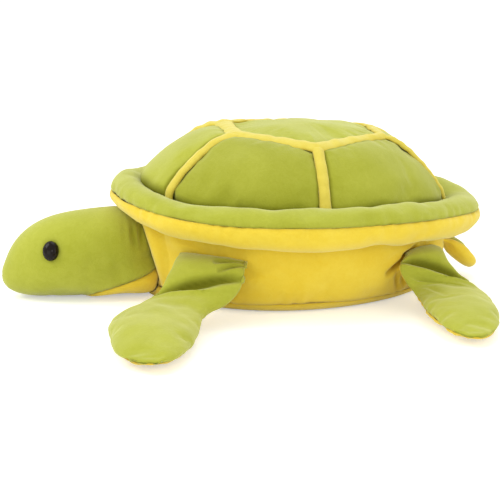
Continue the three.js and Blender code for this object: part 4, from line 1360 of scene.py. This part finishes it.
HEAD_MIDDLE_FORWARD = NECK_FORWARD + HEAD_LENGTH * HEAD_MIDDLE_FORWARD_SHARE
HEAD_MIDDLE = place(HEAD_MIDDLE_FORWARD, 0, NECK_HEIGHT * HEAD_MIDDLE_HEIGHT_SHARE)


def taper(reach, curve):
    power, root = curve
    return (1 - reach**power) ** (1 / root)


def head_curves(reach):
    """Top, bottom, middle height and half width of the head, from the neck's middle at 0 to the nose at 1."""
    top = mix(NOSE_HEIGHT, NECK_HEIGHT + NECK_RADIUS, taper(reach, HEAD_TOP_CURVE))
    bottom = mix(NOSE_HEIGHT, NECK_HEIGHT - NECK_RADIUS, taper(reach, HEAD_BOTTOM_CURVE))
    return top, bottom, mix(NECK_HEIGHT, NOSE_HEIGHT, reach**2), NECK_RADIUS * taper(reach, HEAD_SIDE_CURVE)


def head_front(reach, angle):
    top, bottom, middle, half = head_curves(reach)
    out = squared_below(angle, reach)
    height = np.where(np.sin(angle) > 0, top - middle, middle - bottom) * out * np.sin(angle)
    return place(NECK_FORWARD + HEAD_LENGTH * reach, half * out * np.cos(angle), middle + height)


def head_back(polar, angle):
    """The neck: polar is counted from its hindmost point."""
    direction = place(-np.cos(polar), np.sin(polar) * np.cos(angle), np.sin(polar) * np.sin(angle))
    return place(NECK_FORWARD, 0, NECK_HEIGHT) + direction * neck_radius(direction)[..., None]


def throat_seam_height(forward):
    run = THROAT_LENGTH + THROAT_BEHIND
    share = np.clip((NECK_FORWARD + THROAT_LENGTH - forward) / run, 0, 1)
    return THROAT_RISE * share**THROAT_CURVE


def head_rows():
    """Rows from the back of the neck to the nose: surface, place along it, forward place and seam's angle."""
    back = np.linspace(HEAD_BACK_START, math.pi / 2, HEAD_BACK_ROWS + 1)[:-1]
    rows = [(head_back, polar) for polar in back]
    rows += [(head_front, 1 - (1 - u) ** 2) for u in steps(HEAD_FRONT_ROWS)]
    for surface, value in rows:
        low, high = -math.pi / 2, 0.0
        for _ in range(SEAM_HALVINGS):
            seam = (low + high) / 2
            spot = surface(value, seam)
            if spot[2] < throat_seam_height(-spot[0]):
                low = seam
            else:
                high = seam
        yield surface, value, -spot[0], seam


def head_grid(is_cover):
    """Points of the head's cover, or of the throat up to its tip, and their distance from the seam."""
    points, away = [], []
    columns = steps(HEAD_COLUMNS if is_cover else THROAT_COLUMNS)
    for surface, value, forward, seam in head_rows():
        start, end = (seam, math.pi - seam) if is_cover else (-math.pi - seam, seam)
        angles = mix(start, end, columns)
        points.append(surface(np.full_like(angles, value), angles))
        seam_spots = surface(np.full(2, value), np.array([start, end]))
        past_tip = forward > NECK_FORWARD + THROAT_LENGTH
        nearest = np.minimum(*(length(points[-1] - spot) for spot in seam_spots))
        away.append(nearest + (NO_SEAM_NEAR if past_tip else 0))
        if past_tip and not is_cover:
            break
    return np.array(points), np.array(away)


def eye_frame():
    """The left eye's place on the head, and the directions across it, up it and out of it."""
    reach = EYE_FORWARD / HEAD_LENGTH
    top, _, middle, _ = head_curves(reach)
    angle = math.asin((EYE_HEIGHT - middle) / (top - middle))
    along = head_front(reach + NORMAL_STEP, angle) - head_front(reach - NORMAL_STEP, angle)
    round_it = head_front(reach, angle + NORMAL_STEP) - head_front(reach, angle - NORMAL_STEP)
    out = unit(np.cross(round_it, along))
    out *= -np.sign(out[1])
    side = unit(np.cross([0, 0, 1], out))
    return head_front(reach, angle), side, np.cross(out, side), out


def eye_sockets(points):
    """How far the head's cloth is drawn in round the eyes."""
    total = np.zeros(points.shape[:-1])
    for mirror in (1, -1):
        spot, side, up, out = (vector * np.array([1, mirror, 1]) for vector in eye_frame())
        away = points - spot
        radius = np.hypot(away @ side / EYE_HALF_WIDTH, away @ up / EYE_HALF_HEIGHT)
        near = away @ out > -SOCKET_REACH
        total += near * SOCKET_DEPTH * bell(np.clip(radius - SOCKET_EDGE_SHARE, 0, None), SOCKET_WIDTH_SHARE)
    return total


def neck_creases(points):
    """Upright creases in the cloth just ahead of where the head is sewn to the body."""
    forward, left, height = -points[..., 0], -points[..., 1], points[..., 2]
    lean = NECK_CREASE_LEAN * (height - NECK_CREASE_LEVEL) + NECK_CREASE_BEND * np.abs(left)
    total = np.zeros(points.shape[:-1])
    for start, depth, centre in NECK_CREASES:
        upright = bell(height - centre, NECK_CREASE_REACH)
        total += depth * bell(forward - start - lean, NECK_CREASE_WIDTH) * upright
    return total


def head_piece(name, is_cover, seed, finish, nodes):
    """The head's cover or the throat."""
    points, away = head_grid(is_cover)
    forward = -points[..., 0]
    lump_share = np.clip((forward - HEAD_LUMPS_FROM) / HEAD_LUMPS_RUN, 0, 1)
    offset = gathers(forward, away, HEAD_GATHERS, seed)
    offset = offset + lump_share * lumpy(points, HEAD_LUMPS, seed + HEAD_LUMP_SEED_STEP)
    offset = offset - HEAD_SEAM_SHARE * SEAM_DEPTH * bell(away, SEAM_WIDTH)
    offset = offset - eye_sockets(points) - neck_creases(points)
    normal, _ = outward(points, SHEET, HEAD_MIDDLE)
    points = above_floor(settled(points + normal * offset[..., None], SHEET, HEAD_MIDDLE))
    # Painted shade in the neck creases and along the seam
    dark = NECK_CREASE_SHADE * np.clip(neck_creases(points) - NECK_CREASE_DARK_FROM, 0, None)
    crease = painted_seam_shade(away, HEAD_SEAM_CREASE_WIDTH) + dark
    piece = covered(name, points, SHEET, HEAD_MIDDLE, crease, finish, nodes)
    start, end = place(NECK_BEND_START, 0, NECK_HEIGHT), place(NECK_BEND_END, 0, NECK_HEIGHT)
    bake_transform(piece)
    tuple(start)
    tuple(end)
    return piece


def eye(side, mirror):
    """A domed oval eye with a rounded edge, seated in the cloth."""
    flip = np.array([1, mirror, 1])
    spot, across, up, out = eye_frame()
    profile = [(0.0, EYE_BACK_SHARE), (EYE_FLAT_SHARE, EYE_BACK_SHARE)]
    for t in mix(EYE_EDGE_START, math.pi / 2, steps(EYE_EDGE_STEPS)):
        edge = EYE_FLAT_SHARE + (1 - EYE_FLAT_SHARE) * math.sin(t)
        profile.append((edge, EYE_BACK_SHARE + EYE_EDGE_SHARE * (1 - math.cos(t))))
    for t in math.pi / 2 * steps(EYE_FRONT_STEPS):
        profile.append((math.cos(t) ** EYE_FRONT_ROUNDNESS, mix(EYE_FRONT_SHARE, 1, math.sin(t))))
    profile = np.array(profile)
    radius, rise = profile[:, :1], profile[:, 1:]
    turn = turns(EYE_TURNS).T
    points = (
        spot
        + (radius * np.cos(turn) * EYE_HALF_WIDTH)[..., None] * across
        + (radius * np.sin(turn) * EYE_HALF_HEIGHT)[..., None] * up
        + ((rise * EYE_DOME - EYE_SINK) * np.ones_like(turn))[..., None] * out
    )
    name = f"{side}_eye"
    mesh = mesh_of(name, points * flip, DISC, (spot + out * EYE_INSIDE) * flip)
    piece = add_object(name, mesh, EYE["material"])
    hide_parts(f"eye_{side}")
    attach(piece, "head")
    return piece


# Flippers and tail


def limb_frame(limb, station):
    """Middle line, chord direction, upward direction, half chord and half thickness along a limb."""
    angle, aim, shares = limb["root_angle"], limb["aim"], limb["shares"]
    f = rim_frame(angle)
    _, top_height = body_profile(angle, 1)
    inset, _ = body_profile(angle, limb["root_height"] / top_height)
    root_forward = f["forward"] - f["out_forward"] * inset
    root_left = f["left"] - f["out_left"] * inset
    facing = math.atan2(f["out_left"], f["out_forward"])

    def table(name):
        return smooth_table(shares["station"], shares[name], station)

    level = limb["rest"] + limb["half_thickness"] * table("level")
    centre = place(
        root_forward + math.cos(aim) * station * limb["length"] + limb["reach"] * table("reach"),
        root_left + math.sin(aim) * station * limb["length"],
        mix(level, limb["root_height"], table("drop")),
    )
    turned = mix(aim, facing, table("turning")) + math.pi / 2
    chord = place(np.cos(turned), np.sin(turned), 0)
    up = unit(np.cross(np.gradient(centre, axis=0), chord))
    up *= np.sign(up[:, 2:])
    tip = np.clip((station - shares["tip_start"]) / (1 - shares["tip_start"]), 0, 1)
    power, chord_power, thickness_power = LIMB_TIP_CURVE
    rounding = (1 - tip**power) ** chord_power
    half_chord = mix(limb["root_half_chord"], limb["half_chord"], table("widening")) * rounding
    half_thickness = mix(PINCHED, limb["half_thickness"], table("thickness")) * rounding**thickness_power
    return centre, chord, up, half_chord, half_thickness


def limb_roots():
    """The middle and reach of the ring round each root where it puckers the body's cloth."""
    for limb in LIMBS:
        root = limb_frame(limb, np.array([0.0, LIMB_BEND_SHARE]))[0][0]
        for mirror in limb["mirrors"].values():
            yield root * np.array([1, mirror, 1]), limb["root_half_chord"] * PUCKER_RING


def folded(along, across, folds):
    """Height taken from a limb's top by its folds, each a sharp crease with a soft ridge beyond it."""
    lowered = np.zeros(np.broadcast(along, across).shape)
    for start, end, depth, width, ridge_height, ridge_width in folds:
        run_along, run_across = end[0] - start[0], end[1] - start[1]
        from_along, from_across = along - start[0], across - start[1]
        share = (from_along * run_along + from_across * run_across) / (run_along**2 + run_across**2)
        share = np.clip(share, 0, 1)
        away_along = from_along - share * run_along
        away = np.hypot(away_along, from_across - share * run_across)
        strength = mix(FOLD_END_SHARE, 1, np.sin(math.pi * mix(*FOLD_ENDS, share)))
        crease = np.exp(-(np.sqrt(away**2 + FOLD_BLUNTNESS_SQUARE) - FOLD_BLUNTNESS) / width)
        beyond = away * np.sign(away_along) - FOLD_RIDGE_PLACE * ridge_width
        lowered += strength * (depth * crease - ridge_height * bell(beyond, FOLD_RIDGE_WIDTH * ridge_width))
    return lowered


def limb_cover(limb, side, seed):
    """The points of one side of a limb's cloth, drawn in along its seam and creased at its folds."""
    shares = limb["shares"]
    u = steps(LIMB_ROWS)
    station = mix(shares["station"][0], 1, mix(u, 1 - (1 - u) ** 2, LIMB_ROW_CROWDING))
    centre, chord, up, half_chord, half_thickness = (rows[:, None] for rows in limb_frame(limb, station))
    front_seam, rear_seam = limb["seams"]
    turn = mix(side * math.pi - front_seam, rear_seam, steps(LIMB_COLUMNS))[None, :]
    cosine, sine = np.cos(turn), np.sin(turn)
    across = np.sign(cosine) * np.abs(cosine) ** LIMB_EDGE_ROUNDNESS
    narrowed = 1
    for edge, where, width, depth in shares["notches"]:
        narrowed = narrowed - depth * bell(station - where, width)[:, None] * np.clip(edge * across, 0, 1)
    along = station[:, None] * limb["length"]
    plane_across = across * half_chord * narrowed
    flat = centre + chord * plane_across[..., None]
    end_turn = np.minimum(np.abs(turn - turn[0, 0]), np.abs(turn - turn[0, -1]))
    away = end_turn * np.hypot(half_chord * LIMB_EDGE_SHARE, half_thickness)
    edge_line = along + across * half_chord * LIMB_EDGE_LINE_SHARE
    swelling = np.clip(half_thickness / LIMB_FULL_THICKNESS, 0, 1)
    moved = gathers(edge_line, away, LIMB_GATHERS, seed) + lumpy(flat, LIMB_LUMPS, seed + LIMB_LUMP_SEED_STEP)
    moved = (moved - LIMB_SEAM_DEPTH * bell(away, LIMB_SEAM_WIDTH)) * swelling
    lowered = folded(along, plane_across, limb["folds"]) * np.clip(sine, 0, 1) ** FOLD_EDGE_FADE
    out = unit(up * sine[..., None] + chord * (cosine * half_thickness / limb["half_chord"])[..., None])
    points = flat + up * (half_thickness * sine - lowered * swelling)[..., None] + out * moved[..., None]
    # Painted shade along the seam and in the folds
    crease = LIMB_SEAM_SHADE_SHARE * bell(away, SEAM_SHADE_WIDTH)
    return points, crease + np.clip(lowered * FOLD_SHADE - FOLD_DARK_FROM, 0, 1), flat


def limb_pieces(limb):
    """Top and underside of a limb, on one or both sides of the turtle."""
    pieces = []
    root, bend_end = limb_frame(limb, np.array([0.0, LIMB_BEND_SHARE]))[0]
    for which, side, finish in (("top", 1, GREEN), ("underside", -1, YELLOW)):
        points, crease, flat = limb_cover(limb, side, limb["seed"] + side)
        inside = flat - side * place(0, 0, LIMB_INSIDE)
        points = settled(points, SHEET, inside)
        for hand, mirror in limb["mirrors"].items():
            flip = np.array([1, mirror, 1])
            nodes = [f"{limb['name']}_{which}{hand}"]
            if which == "top":
                nodes.append(f"{limb['name']}_stuffing{hand}")
            name = f"{limb['name']}_{which}_cloth{hand}"
            rested = above_floor(points * flip)
            piece = covered(name, rested, SHEET, inside * flip, crease, finish, nodes, LIMB_CLOTH_THICKNESS)
            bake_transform(piece)
            pieces.append(piece)
    return pieces


# Assembly

padded = [
    rim_cover("rim_upper_roll", True, RIM_UPPER_SEED, GREEN, ["rim_top_cover", "rim_stuffing"]),
    rim_cover("rim_lower_roll", False, RIM_LOWER_SEED, YELLOW, ["rim_lower_cover"]),
    *[side_panel(panel) for panel in range(SIDES)],
    top_panel(),
    side_band(),
    belly(),
    head_piece("head_cloth", True, HEAD_SEED, GREEN, ["head_cover", "head_stuffing"]),
    head_piece("throat_cloth", False, THROAT_SEED, YELLOW, ["throat_panel"]),
    *[piece for limb in LIMBS for piece in limb_pieces(limb)],
]
for panel in range(SIDES):
    side_ribbon(panel)
border_ribbon()
for side, mirror in (("left", 1), ("right", -1)):
    eye(side, mirror)
    washer = frame["nodes"][f"eye_washer_{side}"]
    washer.data.materials.clear()
    washer.data.materials.append(WASHER)


# Floor, light and camera


def floor():
    """A plain pale floor that runs out past the view and keeps the turtle's shadow."""
    mesh = bpy.data.meshes.new("floor")
    corners = [(FLOOR_HALF * x, FLOOR_HALF * y, 0) for x, y in ((-1, -1), (1, -1), (1, 1), (-1, 1))]
    mesh.from_pydata(corners, [], [(0, 1, 2, 3)])
    material = bpy.data.materials.new("pale_floor")
    n = Nodes(material)
    n.shade(PRINCIPLED, {
        "Base Color": (0.92, 0.92, 0.92, 1),
        "Roughness": 0.9,
        "Emission Color": (1, 1, 1, 1),
        "Emission Strength": n.maths("MULTIPLY", n.seen_directly(), FLOOR_GLOW),
    })
    plane = add_object("floor", mesh, material)


def world():
    """Even light from all round, seen as white."""
    studio = bpy.data.worlds.new("studio")
    bpy.context.scene.world = studio
    n = Nodes(studio)
    strength = n.mapped(n.seen_directly(), to_min=WORLD_STRENGTH, to_max=1.0)
    n.shade("Background", {"Color": (1, 1, 1, 1), "Strength": strength})


def aimed(name, data, location, direction):
    """An object of the scene that looks in a direction."""
    thing = bpy.data.objects.new(name, data)
    bpy.context.scene.collection.objects.link(thing)
    thing.location = location
    thing.rotation_mode = "QUATERNION"
    thing.rotation_quaternion = direction.to_track_quat("-Z", "Y")
    return thing


def softbox(name, location, size, power):
    light = bpy.data.lights.new(name, "AREA")
    light.shape = "SQUARE"
    light.size = size
    light.energy = power
    aimed(name, light, location, LIGHT_AIM - Vector(location))


def camera():
    """The photograph's camera, turned so that the picture's middle falls where it does there."""
    data = bpy.data.cameras.new("camera")
    data.sensor_width = SENSOR_MM
    data.lens = SENSOR_MM * FOCAL_PIXELS / PICTURE_PIXELS
    data.clip_start, data.clip_end = CAMERA_RANGE
    forward = -CAMERA_PLACE.normalized()
    right = forward.cross(Vector((0, 0, 1))).normalized()
    up = right.cross(forward)
    aim = forward * FOCAL_PIXELS - right * ORIGIN_ACROSS_PIXELS + up * ORIGIN_BELOW_PIXELS
    bpy.context.scene.camera = aimed("camera", data, CAMERA_PLACE, aim)


floor()
world()
for name, (location, size, power) in SOFTBOXES.items():
    softbox(name, location, size, power)
camera()
bpy.context.scene.view_settings.view_transform = "Standard"
